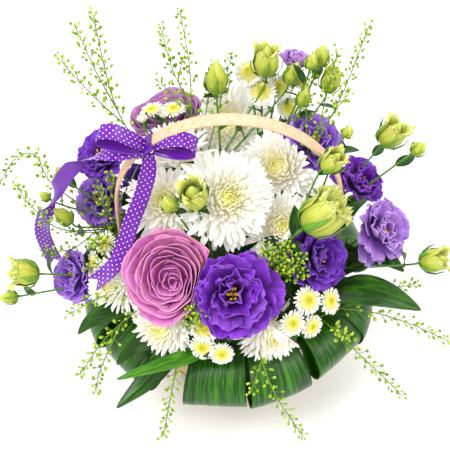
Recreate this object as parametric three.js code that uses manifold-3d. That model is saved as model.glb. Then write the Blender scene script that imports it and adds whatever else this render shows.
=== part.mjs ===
// Flower basket arrangement: a round woven chip basket with a bent-wood hoop handle, lined, filled with
// a block of floral foam and packed with chrysanthemums, roses, lisianthus, button daisies, seed-pod
// sprays and folded leaves, with a dotted satin ribbon tied to the handle.
// Millimetres, +Z up. The origin is the middle of the basket's base, on the table. The hoop stands in
// the XZ plane, and the front of the arrangement faces -Y.
import * as THREE from "three";
import { mergeVertices } from "three/addons/utils/BufferGeometryUtils.js";
import Module from "manifold-3d";

const wasm = await Module();
wasm.setup();

// ---- Driving dimensions -------------------------------------------------------------------------
const baseRadius = 76; // outside of the basket at the table
const rimRadius = 112; // outside of the basket's wall at the top
const basketHeight = 105;
const wallThickness = 3.5;
const floorThickness = 4;
const hoopWidth = 14; // bent-wood strip of the handle, across
const hoopThickness = 3;
const hoopReach = 110; // half of the handle's span above the rim
const hoopShoulder = 220; // height where the straight legs turn into the arch
const hoopTop = 335;
const linerThickness = 0.8;
const foamTop = 140;
const foamRadius = 78;
const clearance = 0.35; // between two neighbouring pieces
const bladeThickness = 0.9; // leaves
const ribbonWidth = 16;
const ribbonThickness = 0.8;

const heart = new THREE.Vector3(0, 0, 100); // places of the flowers are seen from here

// ---- Numbers and directions ---------------------------------------------------------------------
let seed = 7;
function chance(low, high) {
  seed = (seed * 16807) % 2147483647;
  return low + ((high - low) * seed) / 2147483647;
}

const degrees = Math.PI / 180;
const mix = (a, b, t) => a + (b - a) * t;
const point = (x, y, z) => new THREE.Vector3(x, y, z);

// A direction: turn is the angle round +Z from +X, rise is the angle above the horizon.
function towards([turn, rise]) {
  const flat = Math.cos(rise * degrees);
  return point(
    flat * Math.cos(turn * degrees),
    flat * Math.sin(turn * degrees),
    Math.sin(rise * degrees),
  );
}

// A place: a direction from the heart and a distance in millimetres.
const place = ([turn, rise, reach]) => towards([turn, rise]).multiplyScalar(reach).add(heart);

// ---- Solids -------------------------------------------------------------------------------------
// A closed body from vertices and faces, with its faces turned outwards.
function closed(vertices, faces) {
  let volume = 0;
  for (const [a, b, c] of faces)
    volume += vertices[a].dot(vertices[b].clone().cross(vertices[c]));
  const outward = volume < 0 ? faces.map(([a, b, c]) => [a, c, b]) : faces;
  const geometry = new THREE.BufferGeometry().setFromPoints(vertices);
  geometry.setIndex(outward.flat());
  return geometry;
}

function solid(geometry) {
  const bare = geometry.clone();
  bare.deleteAttribute("normal");
  bare.deleteAttribute("uv");
  const merged = mergeVertices(bare, 1e-4);
  return new wasm.Manifold(
    new wasm.Mesh({
      numProp: 3,
      vertProperties: merged.attributes.position.array,
      triVerts: new Uint32Array(merged.index.array),
    }),
  );
}

function geometryOf(body) {
  const mesh = body.getMesh();
  const geometry = new THREE.BufferGeometry();
  geometry.setAttribute("position", new THREE.BufferAttribute(mesh.vertProperties, 3));
  geometry.setIndex(new THREE.BufferAttribute(mesh.triVerts, 1));
  return geometry;
}

const join = (bodies) => bodies.reduce((all, body) => all.add(body));

function biggest(body) {
  const pieces = body.decompose();
  return pieces.reduce((best, piece) => (piece.volume() > best.volume() ? piece : best));
}

// Rings of points joined into a closed skin. A ring of one point is a tip, and an open first or last
// ring is closed flat.
function skin(rings) {
  const vertices = rings.flat();
  const faces = [];
  let start = 0;
  for (let k = 0; k + 1 < rings.length; k++) {
    const here = rings[k].length;
    const next = rings[k + 1].length;
    const after = start + here;
    const sides = Math.max(here, next);
    for (let i = 0; i < sides; i++) {
      const j = (i + 1) % sides;
      if (here === 1) faces.push([start, after + i, after + j]);
      else if (next === 1) faces.push([start + i, after, start + j]);
      else {
        faces.push([start + i, after + i, start + j]);
        faces.push([start + j, after + i, after + j]);
      }
    }
    start = after;
  }
  for (let i = 1; i + 1 < rings[0].length; i++) faces.push([0, i, i + 1]);
  for (let i = 1; i + 1 < rings.at(-1).length; i++) faces.push([start, start + i + 1, start + i]);
  return closed(vertices, faces);
}

// A ring round Z at [radius, height], with a factor for each column.
function ringAt([radius, height], count, shape = () => [1, 0], phase = 0) {
  const ring = [];
  for (let i = 0; i < count; i++) {
    const angle = ((i + phase) * 2 * Math.PI) / count;
    const [wide, high] = shape(angle, i);
    ring.push(point(radius * wide * Math.cos(angle), radius * wide * Math.sin(angle), height + high));
  }
  return ring;
}

// A round stalk through its points, straight between them, with a ring of corners at each point.
function stalk(points, radius, sides = 4) {
  const chord = points.at(-1).clone().sub(points[0]);
  const size = [Math.abs(chord.x), Math.abs(chord.y), Math.abs(chord.z)];
  const least = size.indexOf(Math.min(...size));
  const level = point(least === 0 ? 1 : 0, least === 1 ? 1 : 0, least === 2 ? 1 : 0);
  const rings = points.map((here, k) => {
    const into = here.clone().sub(points[Math.max(k - 1, 0)]).normalize();
    const onward = points[Math.min(k + 1, points.length - 1)].clone().sub(here).normalize();
    const along = into.add(onward).normalize();
    const side = along.clone().cross(level).normalize();
    const face = along.clone().cross(side);
    return Array.from({ length: sides }, (_, i) => {
      const angle = (i * 2 * Math.PI) / sides;
      return here
        .clone()
        .addScaledVector(side, radius * Math.cos(angle))
        .addScaledVector(face, radius * Math.sin(angle));
    });
  });
  return solid(skin(rings));
}

// A flat strip along points, each with the direction its width runs in.
function strip(points, across, width, thickness) {
  const rings = points.map((here, i) => {
    const before = points[Math.max(i - 1, 0)];
    const after = points[Math.min(i + 1, points.length - 1)];
    const along = after.clone().sub(before).normalize();
    const side = across[i].clone().addScaledVector(along, -across[i].dot(along)).normalize();
    const face = along.clone().cross(side);
    const halfWidth = (Array.isArray(width) ? width[i] : width) / 2;
    const corner = (a, b) =>
      here
        .clone()
        .addScaledVector(side, a * halfWidth)
        .addScaledVector(face, (b * thickness) / 2);
    return [corner(1, 1), corner(-1, 1), corner(-1, -1), corner(1, -1)];
  });
  return solid(skin(rings));
}

// Turns and moves a shape made round +Z so that it stands at a point and faces a direction.
function set(geometry, at, facing) {
  const placed = geometry.clone();
  placed.applyQuaternion(new THREE.Quaternion().setFromUnitVectors(point(0, 0, 1), facing));
  placed.translate(at.x, at.y, at.z);
  return placed;
}

const tailRadius = 1.2; // stalk of a bud or a daisy
const podStemRadius = 1.1;
const sprigRadius = 1.5; // stem of the pointed leaves

// ---- Flower shapes, made round +Z ---------------------------------------------------------------
// Rows of pointed petals that stand out of one core. Each petal grows from a diamond of the core, and
// the rows interlock. rows run from the lowest to the innermost: root and tip are [radius, height].
// tail holds the points that the head's own stalk, with half as many sides, runs down through.
function whorl({ count, foot, rows, crown, wander = 0.05, tail = [] }) {
  const vertices = [];
  const faces = [];
  const profile = [foot, ...rows.map((row) => row.root), ...crown.slice(0, -1)];
  const starts = [];
  profile.forEach((spot, k) => {
    starts.push(vertices.length);
    const phase = Math.min(k, rows.length + 1) % 2 ? 0 : 0.5;
    vertices.push(...ringAt(spot, count, undefined, phase));
  });
  const wrap = (i) => (i + count) % count;
  for (let k = 1; k <= rows.length; k++) {
    const { tip } = rows[k - 1];
    const odd = k % 2;
    for (let i = 0; i < count; i++) {
      const left = starts[k] + (odd ? i : wrap(i - 1));
      const right = starts[k] + (odd ? wrap(i + 1) : i);
      const low = starts[k - 1] + i;
      const high = starts[k + 1] + i;
      const angle = ((i + (odd ? 0.5 : 0) + chance(-wander, wander) * 2) * 2 * Math.PI) / count;
      const reach = 1 + chance(-wander, wander);
      const end = point(
        tip[0] * reach * Math.cos(angle),
        tip[0] * reach * Math.sin(angle),
        tip[1] + chance(-wander, wander) * tip[0],
      );
      const base = [low, right, high, left];
      const top = vertices.push(end) - 1;
      for (let e = 0; e < 4; e++) faces.push([base[e], base[(e + 1) % 4], top]);
    }
  }
  // The triangles between the lowest diamonds, then the stalk or the flat underside.
  for (let i = 0; i < count; i++) {
    const next = wrap(i + 1);
    faces.push([starts[0] + i, starts[0] + next, starts[1] + next]);
  }
  const sides = tail.length ? count / 2 : count;
  let rim = starts[0];
  tail.forEach((spot, k) => {
    const ring = vertices.length;
    vertices.push(...ringAt([tailRadius, 0], sides, undefined, 0.5).map((v) => v.add(spot)));
    for (let i = 0; i < sides; i++) {
      const next = (i + 1) % sides;
      if (k === 0) {
        const [a, b, c] = [rim + 2 * i, rim + wrap(2 * i + 1), rim + wrap(2 * i + 2)];
        faces.push([ring + i, b, a], [ring + i, c, b], [ring + i, ring + next, c]);
      } else faces.push([ring + i, ring + next, rim + i], [ring + next, rim + next, rim + i]);
    }
    rim = ring;
  });
  const under = vertices.push(tail.at(-1)?.clone() ?? point(0, 0, foot[1])) - 1;
  for (let i = 0; i < sides; i++) faces.push([under, rim + ((i + 1) % sides), rim + i]);
  // The triangles above the highest diamonds, then the crown's own rings and its tip.
  const last = rows.length;
  const odd = last % 2;
  for (let i = 0; i < count; i++) {
    const a = starts[last] + (odd ? wrap(i + 1) : i);
    faces.push([a, starts[last + 1] + wrap(i + 1), starts[last + 1] + i]);
  }
  for (let k = last + 1; k + 1 < profile.length; k++)
    for (let i = 0; i < count; i++) {
      const next = wrap(i + 1);
      faces.push([starts[k] + i, starts[k] + next, starts[k + 1] + i]);
      faces.push([starts[k] + next, starts[k + 1] + next, starts[k + 1] + i]);
    }
  const peak = vertices.push(point(0, 0, crown.at(-1)[1])) - 1;
  for (let i = 0; i < count; i++) {
    const ring = starts.at(-1);
    faces.push([ring + i, ring + wrap(i + 1), peak]);
  }
  return closed(vertices, faces);
}

// A chrysanthemum: long petals below, shorter and steeper ones towards the heart. open is the angle of
// the lowest petals from the flower's axis.
function chrysanthemum({ radius, count = 12, layers = 4, open = 98 }) {
  const core = 0.26 * radius;
  const polar = (size, angle) => [size * Math.sin(angle * degrees), size * Math.cos(angle * degrees)];
  const rows = [];
  for (let k = 0; k < layers; k++) {
    const t = k / (layers - 1);
    rows.push({
      root: polar(core, mix(118, 34, t)),
      tip: polar(radius * mix(1, 0.5, t), mix(open, 17, t ** 0.85)),
    });
  }
  return whorl({
    count,
    foot: polar(core, 150),
    rows,
    crown: [polar(core, 18), [0, core * 1.25]],
  });
}

// A button daisy: white rays round a raised yellow disc.
function daisy(radius, tail) {
  return whorl({
    count: 8,
    foot: [0.2 * radius, -0.2 * radius],
    rows: [{ root: [0.34 * radius, 0], tip: [radius, 0.12 * radius] }],
    crown: [[0.4 * radius, 0.16 * radius], [0, 0.4 * radius]],
    tail,
  });
}

// Cupped petals in rings, one inside the other, with lobed and waved rims: a lisianthus or a rose.
// layers run from the outside in, each with its rim and the floor of the gap inside it.
function cupped({ radius, count, lobes, layers, frill, notch, base, wall = 1.5, centre }) {
  const scale = ([r, h]) => [r * radius, h * radius];
  const rings = [[point(0, 0, -2)], ringAt([4.5, 0], count), ringAt(scale(base), count)];
  layers.forEach(({ rim, floor }, k) => {
    const shape = (angle, i) => {
      const lobe = Math.abs(Math.cos((lobes / 2) * (angle + k * 0.63)));
      const wave = (i % 2 ? 1 : -1) * frill * radius;
      return [1 - notch * (1 - lobe), wave + notch * radius * 0.4 * (lobe - 0.6)];
    };
    const [r, h] = scale(rim);
    rings.push(ringAt([r, h], count, shape));
    rings.push(ringAt([r - wall, h + 0.5], count, shape));
    rings.push(ringAt(scale(floor), count));
  });
  rings.push([point(0, 0, centre * radius)]);
  return skin(rings);
}

function lisianthus(radius) {
  const count = radius > 34 ? 15 : 10;
  return cupped({
    radius,
    count,
    lobes: 5,
    frill: 0.05,
    notch: 0.2,
    base: [0.5, 0.26],
    layers: [
      { rim: [1, 0.42], floor: [0.5, 0.42] },
      { rim: [0.72, 0.74], floor: [0.2, 0.5] },
    ],
    centre: 0.66,
  });
}

function rose(radius) {
  return cupped({
    radius,
    count: radius > 35 ? 15 : 10,
    lobes: 5,
    frill: 0.008,
    notch: 0.1,
    base: [0.6, 0.16],
    layers: [
      { rim: [1, 0.46], floor: [0.76, 0.46] },
      { rim: [0.76, 0.64], floor: [0.48, 0.52] },
      { rim: [0.44, 0.68], floor: [0.16, 0.55] },
    ],
    centre: 0.6,
  });
}

// A green lisianthus bud with its pointed sepals. mouth is the width at the top: 0 is shut.
function bud({ radius, length, mouth = 0 }, tail) {
  return whorl({
    count: 6,
    foot: [2, -2],
    rows: [{ root: [2.6, 0], tip: [1.15 * radius, 0.45 * length] }],
    crown: [
      [0.78 * radius, 0.24 * length],
      [mix(0.8, 1.1, mouth) * radius, 0.76 * length],
      [0, mix(1, 0.84, mouth) * length],
    ],
    wander: 0.03,
    tail,
  });
}

// A half-open bud with a waved mouth.
function openingBud(radius) {
  return cupped({
    radius,
    count: 10,
    lobes: 5,
    frill: 0.06,
    notch: 0.16,
    base: [0.55, 0.35],
    layers: [
      { rim: [1, 1.15], floor: [0.6, 0.95] },
      { rim: [0.62, 1.35], floor: [0.2, 1.05] },
    ],
    centre: 1.1,
    wall: 1.3,
  });
}

// ---- Leaf shapes --------------------------------------------------------------------------------
// A pointed leaf folded along its midrib: a narrow stalk as far as the second point, then the blade.
function blade(points, width, extra = 0) {
  const rise = 0.18;
  const up = point(0, 0, 1);
  const stem = new THREE.LineCurve3(points[0], points[1]);
  const path = new THREE.CatmullRomCurve3(points.slice(1));
  const shape = [[0, 0.06], [0.16, 0.6], [0.42, 1], [0.75, 0.75], [1, 0.05]];
  const stations = shape.map(([t, wide]) => [path.getPointAt(t), path.getTangentAt(t), wide]);
  stations.unshift([points[0], stem.getTangentAt(0), 0.06]);
  const rings = stations.map(([here, along, wide]) => {
    const side = along.clone().cross(up).normalize();
    const face = side.clone().cross(along);
    const half = Math.max((width / 2) * wide, 1.2) + extra / 2;
    const spot = (a, b) => here.clone().addScaledVector(side, a).addScaledVector(face, b);
    const lift = rise * half;
    const thin = (bladeThickness + extra) / 2;
    return [
      spot(-half, lift + thin),
      spot(-half, lift - thin),
      spot(0, -thin),
      spot(half, lift - thin),
      spot(half, lift + thin),
      spot(0, thin),
    ];
  });
  return solid(skin(rings));
}

// A broad leaf bent into a loop over the basket's rim, with both ends in the foam. turn is its place
// round the basket, width its breadth, drop how far the loop hangs, and extra thickens it for a slot.
function leafLoop({ turn, width, drop }, extra = 0) {
  const profile = [
    [70, 118],
    [88, 124],
    [126, 124],
    [149, 107],
    [148, 88],
    [133, 84],
    [117, 108],
    [106, 111],
    [foamRadius + 0.4, 109.5],
  ];
  const outward = towards([turn, 0]);
  const across = towards([turn + 90, 0]);
  const bottom = profile.map(([radius, height]) => {
    const hang = Math.max(0, (radius - 112) / 40);
    return outward
      .clone()
      .multiplyScalar(radius)
      .setZ(height - drop * hang * (height < 110 ? 1 : 0.4));
  });
  const widths = profile.map(([radius]) => extra + (width * radius) / 150);
  return strip(bottom, bottom.map(() => across), widths, bladeThickness + extra);
}

// ---- Basket, liner, foam and handle -------------------------------------------------------------
const outerRadius = (height) => mix(baseRadius, rimRadius, height / basketHeight);
const innerRadius = (height) => outerRadius(height) - wallThickness;

// Round the wall the splints pass over and under the uprights, so each row bulges in turn.
function wovenBasket() {
  const columns = 24;
  const courses = 5;
  const bulge = 0.9;
  const weave = (row) => (angle, i) => [1 + ((i + row) % 2 ? bulge : -bulge) / rimRadius, 0];
  const rings = [[point(0, 0, 0)], ringAt([baseRadius - 2, 0], columns)];
  for (let row = 0; row < courses; row++) {
    const height = mix(3, basketHeight - 11, row / (courses - 1));
    rings.push(ringAt([outerRadius(height), height], columns, weave(row)));
  }
  rings.push(ringAt([rimRadius + 2.2, basketHeight - 7], columns));
  rings.push(ringAt([rimRadius + 2.2, basketHeight - 1.5], columns));
  rings.push(ringAt([rimRadius, basketHeight], columns));
  rings.push(ringAt([innerRadius(basketHeight), basketHeight], columns));
  rings.push(ringAt([innerRadius(floorThickness), floorThickness], columns));
  rings.push([point(0, 0, floorThickness)]);
  return solid(skin(rings));
}

const hoopInset = 2.6; // from the wall's inside to the middle of the strip
const linerInset = hoopInset + hoopThickness / 2 + 0.6;

function liner() {
  const low = floorThickness + clearance;
  const high = basketHeight - 2;
  const radius = (height) => innerRadius(height) - linerInset;
  const profile = [
    [0, low],
    [radius(low), low],
    [radius(high), high],
    [radius(high) - linerThickness, high],
    [radius(low) - linerThickness, low + linerThickness],
    [0, low + linerThickness],
  ].map(([x, y]) => new THREE.Vector2(x, y));
  const turned = new THREE.LatheGeometry(profile, 16);
  turned.rotateX(Math.PI / 2);
  return solid(turned);
}

function foamBlock() {
  const low = floorThickness + clearance + linerThickness + clearance;
  const profile = [
    [0, low],
    [60, low],
    [foamRadius, basketHeight - 5],
    [foamRadius - 2, basketHeight + 14],
    [foamRadius - 36, foamTop],
    [0, foamTop + 1],
  ].map(([x, y]) => new THREE.Vector2(x, y));
  const turned = new THREE.LatheGeometry(profile, 14);
  turned.rotateX(Math.PI / 2);
  return solid(turned);
}

// Middle line of the hoop in the XZ plane: leg in the basket, straight leg, arch and the same again.
function hoopLine() {
  const leg = [];
  for (const height of [30, 67, 104]) leg.push([innerRadius(height) - hoopInset, height]);
  leg.push([hoopReach - 1.5, 150], [hoopReach, hoopShoulder]);
  const arch = [];
  const arcSteps = 14;
  for (let i = 1; i < arcSteps; i++) {
    const angle = (i * Math.PI) / arcSteps;
    const rise = (hoopTop - hoopShoulder) * Math.sin(angle);
    arch.push([hoopReach * Math.cos(angle), hoopShoulder + rise]);
  }
  const right = leg.map(([x, z]) => point(x, 0, z));
  const left = leg.map(([x, z]) => point(-x, 0, z)).reverse();
  return [...right, ...arch.map(([x, z]) => point(x, 0, z)), ...left];
}

function handle(extra = 0) {
  const line = hoopLine();
  const across = line.map(() => point(0, 1, 0));
  return strip(line, across, hoopWidth + extra, hoopThickness + extra);
}

// A spot on the hoop's middle line above the shoulder, at a distance along X.
function onHoop(x) {
  const part = Math.sqrt(1 - (x / hoopReach) ** 2);
  return point(x, 0, hoopShoulder + (hoopTop - hoopShoulder) * part);
}

// ---- Ribbon -------------------------------------------------------------------------------------
const knotSpot = onHoop(-74);

// Bow loops, tails and the knot round the hoop. Each band has points and the way its width runs.
const ribbonBands = {
  leftTail: {
    points: [
      [-78, -8, 302], [-100, -12, 304], [-122, -13, 300], [-146, -12, 284], [-163, -10, 254],
      [-171, -8, 232], [-182, -5, 205], [-187, -3, 178], [-184, -2, 150], [-178, -2, 124],
    ],
    across: [
      [0, 1, 1], [0, 1, 1.2], [0.3, 1, 1.2], [0.8, 1, 1], [1, 0.8, 0.4],
      [0.4, 1, 0], [1, 0.6, 0.2], [1, 0.3, 0], [1, 0.4, 0], [1, 0.8, 0],
    ],
  },
  rightTail: {
    points: [
      [-75, -8, 299], [-76, -17, 280], [-84, -29, 256], [-92, -40, 240], [-100, -51, 218],
      [-109, -62, 202], [-120, -70, 194], [-133, -77, 187],
    ],
    across: [
      [1, 0, 0], [1, 0.1, 0], [1, 0.2, 0], [1, 0.2, 0.1], [1, 0, 0.3],
      [0.8, -0.4, 0.6], [0.3, -0.6, 0.8], [0.2, -0.5, 0.9],
    ],
  },
  rightLoop: {
    points: [
      [-71, -6, 305], [-58, -10, 317], [-42, -13, 322], [-31, -14, 316], [-32, -14, 308],
      [-44, -12, 303], [-58, -9, 302], [-70, -6, 301],
    ],
    across: Array(8).fill([0.15, 1, 0.25]),
  },
  leftLoop: {
    points: [
      [-78, -6, 307], [-90, -12, 322], [-104, -15, 334], [-116, -16, 335], [-119, -15, 328],
      [-111, -13, 319], [-94, -10, 309], [-79, -6, 302],
    ],
    across: Array(8).fill([0.25, 1, 0.3]),
  },
};

function ribbonBand({ points, across }, extra = 0) {
  const spots = points.map((p) => point(...p));
  const widths = spots.map((_, i) => {
    const near = Math.min(i, points.length - 1 - i);
    return extra + ribbonWidth * (i === 0 ? 0.5 : near === 0 ? 0.7 : 1);
  });
  return strip(spots, across.map((a) => point(...a).normalize()), widths, ribbonThickness + extra);
}

// The knot is a tight wrap round the strip of the hoop, with a soft lump in front.
function knot(extra = 0) {
  const lean = onHoop(-70).sub(onHoop(-78)).normalize();
  const wrap = new THREE.BoxGeometry(
    9 + extra,
    hoopWidth + 3 + extra,
    hoopThickness + 3 + extra,
  );
  const turn = Math.atan2(-lean.z, lean.x);
  wrap.rotateY(turn);
  wrap.translate(knotSpot.x, knotSpot.y, knotSpot.z);
  const lump = new THREE.SphereGeometry(6 + extra, 6, 4);
  lump.scale(1, 0.8, 1);
  lump.translate(knotSpot.x - 0.5, -hoopWidth / 2 - 3, knotSpot.z);
  return solid(wrap).add(solid(lump));
}

function ribbon(extra = 0) {
  const bands = Object.values(ribbonBands).map((band) => ribbonBand(band, extra));
  const whole = join([knot(extra), ...bands]);
  return extra ? whole : biggest(whole.subtract(handle(2 * clearance)));
}

// ---- Seed-pod sprays ----------------------------------------------------------------------------
function pathThrough(points) {
  const path = new THREE.CurvePath();
  for (let k = 1; k < points.length; k++) path.add(new THREE.LineCurve3(points[k - 1], points[k]));
  return path;
}

// Thin stems with small pods on short stalks, set in a spiral round the outer part of each stem.
function podSpray({ main, sides, size = 2.1, stalkLength = 8 }, extra = 0) {
  const [mainFrom, ...mainPlaces] = main;
  const trunk = mainPlaces.map(place);
  const branches = sides.map(([leaves, from, ...places]) => {
    return { from, count: 3, points: [pathThrough(trunk).getPointAt(leaves), ...places.map(place)] };
  });
  const stems = [{ from: mainFrom, count: 4, points: trunk }, ...branches];
  const stalks = stems.map(({ points }) => stalk(points, podStemRadius + extra / 2, 3));
  const pods = stems.flatMap(({ from, count, points }, number) => {
    const path = pathThrough(points);
    return Array.from({ length: count }, (_, i) => {
      const t = mix(from, 1, i / (count - 1));
      const along = path.getTangentAt(t);
      const sideways = along.clone().cross(point(0.3, 0.2, 1)).normalize();
      const out = sideways.applyAxisAngle(along, i * 2.4 + number);
      out.addScaledVector(along, i === count - 1 ? 3 : 0.9).normalize();
      const length = stalkLength * mix(1.15, 0.7, i / count);
      const radius = size * mix(1.1, 0.75, i / count);
      return pod(path.getPointAt(t), out, length + extra, radius + extra / 2);
    });
  });
  return { stalks: join(stalks), pods, foot: trunk };
}

// A pod on its stalk: thin where it grows from the stem, round near the end.
function pod(root, direction, length, radius) {
  const side = direction.clone().cross(point(0.31, 0.95, 0.1)).normalize();
  const other = direction.clone().cross(side);
  const ring = (distance, r) =>
    [0, 1, 2].map((i) => {
      const angle = (i * 2 * Math.PI) / 3;
      return root
        .clone()
        .addScaledVector(direction, distance)
        .addScaledVector(side, r * Math.cos(angle))
        .addScaledVector(other, r * Math.sin(angle));
    });
  const tip = root.clone().addScaledVector(direction, length + radius * 0.6);
  return solid(skin([ring(0, 0.45), ring(length - radius * 0.7, radius), [tip]]));
}

// ---- What stands where --------------------------------------------------------------------------
// Places are [turn, rise, reach] from the heart, and faces are [turn, rise].
const white = { color: 0xf3f0e4, roughness: 0.55 };
const lilacPink = { color: 0xdc90cc, roughness: 0.6 };
const mauve = { color: 0xb867b4, roughness: 0.6 };
const violet = { color: 0x6a2cc0, roughness: 0.5 };
const purple = { color: 0x4b1d9c, roughness: 0.5 };
const lilac = { color: 0xb48fe0, roughness: 0.5 };
const budGreen = { color: 0xbfd35c, roughness: 0.5 };
const podGreen = { color: 0x8fb02c, roughness: 0.6 };
const leafGreen = { color: 0x1d5a14, roughness: 0.4 };
const palerLeaf = { color: 0x4e8a26, roughness: 0.45 };

// Each head: shape, place, face, cell (its share of the room), and sunk (how far its root lies below
// the place along its face). stem is the stalk's radius, and via bends it clear of what is near.
const mum = (at, face, radius, extra = {}) => ({
  shape: () => chrysanthemum({ radius, ...extra }),
  at,
  face,
  cell: radius,
  sunk: 0.3 * radius,
});
const open = (at, face, radius, shape = lisianthus) => ({
  shape: () => shape(radius),
  at,
  face,
  cell: radius * 0.98,
  sunk: 0.62 * radius,
  root: 2,
});
const button = (at, face, radius = 13) => ({
  shape: (tail) => daisy(radius, tail),
  ownStalk: true,
  at,
  face,
  cell: radius,
  sunk: 0.2 * radius,
});
const shut = (at, face, radius, length, mouth = 0) => ({
  shape: (tail) => bud({ radius, length, mouth }, tail),
  ownStalk: true,
  at,
  face,
  cell: length * 0.55,
  sunk: length / 2,
  root: 2,
});

const flowers = [
  {
    name: "white_chrysanthemum_front",
    finish: white,
    heads: [mum([263, 80, 158], [268, 70], 47, { count: 14, layers: 5 })],
  },
  {
    name: "white_chrysanthemum_under_hoop",
    finish: white,
    heads: [mum([96, 51, 168], [92, 66], 46, { open: 84 })],
  },
  {
    name: "white_chrysanthemum_right",
    finish: white,
    heads: [mum([43, 70, 150], [10, 62], 44)],
  },
  {
    name: "white_chrysanthemum_left",
    finish: white,
    heads: [mum([188, 64, 142], [200, 58], 38)],
  },
  {
    name: "white_chrysanthemum_behind_bow",
    finish: white,
    heads: [mum([140, 65, 168], [150, 62], 36, { open: 66 })],
  },
  {
    name: "white_chrysanthemum_low_left",
    finish: white,
    heads: [mum([208, 27, 142], [216, 34], 32, { open: 108 })],
  },
  {
    name: "white_chrysanthemum_under_rose",
    finish: white,
    heads: [mum([239, 25, 130], [239, 20], 37)],
  },
  {
    name: "white_chrysanthemum_low_right",
    finish: white,
    heads: [mum([291, 25, 126], [291, 18], 34)],
  },
  {
    name: "white_chrysanthemum_middle",
    finish: white,
    heads: [mum([330, 64, 128], [315, 52], 38)],
  },
  {
    name: "white_chrysanthemum_back",
    finish: white,
    heads: [mum([93, 20, 138], [92, 26], 42)],
  },
  {
    name: "pink_rose",
    finish: lilacPink,
    stem: 2.4,
    heads: [open([235, 47, 157], [244, 47], 42, rose)],
  },
  {
    name: "mauve_rose_back",
    finish: mauve,
    stem: 2.2,
    heads: [open([121, 46, 188], [124, 56], 33, rose)],
  },
  {
    name: "lisianthus_front",
    finish: violet,
    heads: [open([272, 46, 157], [270, 46], 44)],
  },
  {
    name: "lisianthus_right_front",
    finish: purple,
    heads: [open([325, 45, 153], [314, 40], 35)],
  },
  {
    name: "lisianthus_upper_left",
    finish: purple,
    heads: [open([156, 42, 193], [160, 48], 30)],
  },
  {
    name: "lisianthus_left",
    finish: violet,
    heads: [open([167, 33, 165], [186, 44], 30)],
    buds: [
      shut([182, 33, 196], [188, 55], 8, 26),
      shut([173, 29, 213], [178, 40], 5, 13),
      shut([175, 42, 221], [176, 62], 5.5, 15),
    ],
  },
  {
    name: "lisianthus_far_left",
    finish: violet,
    heads: [open([194, 18, 172], [202, 26], 28)],
    buds: [shut([195, 20, 222], [190, 16], 14, 30, 0.7), shut([197, 13, 234], [196, 6], 6.5, 19)],
  },
  {
    name: "lisianthus_upper_right",
    finish: violet,
    heads: [open([36, 53, 180], [30, 56], 33)],
  },
  {
    name: "lisianthus_right",
    finish: purple,
    heads: [open([12, 42, 184], [2, 52], 31)],
    buds: [
      shut([17, 45, 236], [12, 58], 14, 32, 0.7),
      shut([6, 44, 254], [8, 44], 7, 17),
      shut([5, 62, 237], [10, 66], 5.5, 13),
    ],
  },
  {
    name: "lisianthus_far_right",
    finish: lilac,
    heads: [open([355, 31, 184], [338, 42], 33)],
    buds: [shut([345, 25, 227], [350, 28], 12.5, 29, 0.7)],
    via: point(84, -20, 140),
  },
  {
    name: "lisianthus_top",
    finish: lilac,
    heads: [open([61, 55, 240], [62, 66], 17)],
    buds: [
      shut([48, 59, 260], [50, 72], 8.5, 22),
      shut([47, 63, 256], [44, 74], 6.5, 17),
      shut([42, 56, 240], [44, 66], 10.5, 27, 0.6),
      shut([47, 60, 216], [44, 70], 7.5, 22),
    ],
  },
  {
    name: "lisianthus_back",
    finish: purple,
    heads: [open([132, 20, 152], [132, 30], 33)],
  },
  {
    name: "bud_stem_top",
    finish: budGreen,
    heads: [shut([98, 67, 224], [96, 84], 11.5, 38)],
    buds: [shut([71, 62, 238], [80, 76], 14, 34, 0.5), shut([57, 60, 232], [36, 62], 9, 24)],
  },
  {
    name: "bud_stem_front_right",
    finish: budGreen,
    stem: 1.7,
    heads: [
      {
        shape: () => openingBud(23),
        at: [330, 58, 190],
        face: [350, 50],
        cell: 25,
        sunk: 22,
        root: 2,
      },
    ],
    buds: [shut([349, 64, 222], [345, 72], 11, 27, 0.5)],
  },
  {
    name: "bud_stem_front_left",
    finish: budGreen,
    heads: [shut([238, 72, 200], [232, 76], 14, 31, 0.4)],
    buds: [shut([222, 67, 192], [206, 68], 8, 20)],
    via: point(-14, -52, 190),
  },
  {
    name: "daisies_top",
    finish: white,
    heads: [
      button([80, 59, 220], [88, 72], 12.5),
      button([72, 59, 203], [66, 66], 13.5),
      button([65, 55, 208], [58, 58], 12),
      button([59, 52, 190], [52, 56], 12.5),
      button([57, 52, 219], [20, 40], 11),
    ],
  },
  {
    name: "daisies_upper_left",
    finish: white,
    heads: [
      button([130, 52, 196], [140, 70], 12),
      button([123, 58, 192], [118, 78], 12),
      button([141, 56, 197], [140, 70], 6.5),
      button([128, 56, 188], [134, 72], 6),
    ],
  },
  {
    name: "daisies_left",
    finish: white,
    heads: [button([189, 33, 148], [206, 44], 12), button([193, 25, 153], [200, 20], 11)],
  },
  {
    name: "daisies_front",
    finish: white,
    heads: [
      button([259, 32, 144], [250, 42], 14),
      button([259, 24, 145], [254, 26], 12.5),
      button([267, 22, 145], [272, 22], 11.5),
    ],
  },
  {
    name: "daisies_right",
    finish: white,
    heads: [
      button([309, 35, 146], [306, 42], 14),
      button([318, 30, 151], [326, 34], 13),
      button([299, 29, 143], [296, 32], 12.5),
      button([307, 24, 145], [312, 22], 12),
    ],
  },
  {
    name: "daisies_back",
    finish: white,
    heads: [
      button([60, 22, 146], [58, 30], 14),
      button([68, 30, 150], [66, 40], 13),
      button([52, 30, 152], [50, 38], 13),
    ],
    via: place([73, 24, 96]),
  },
];

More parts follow.
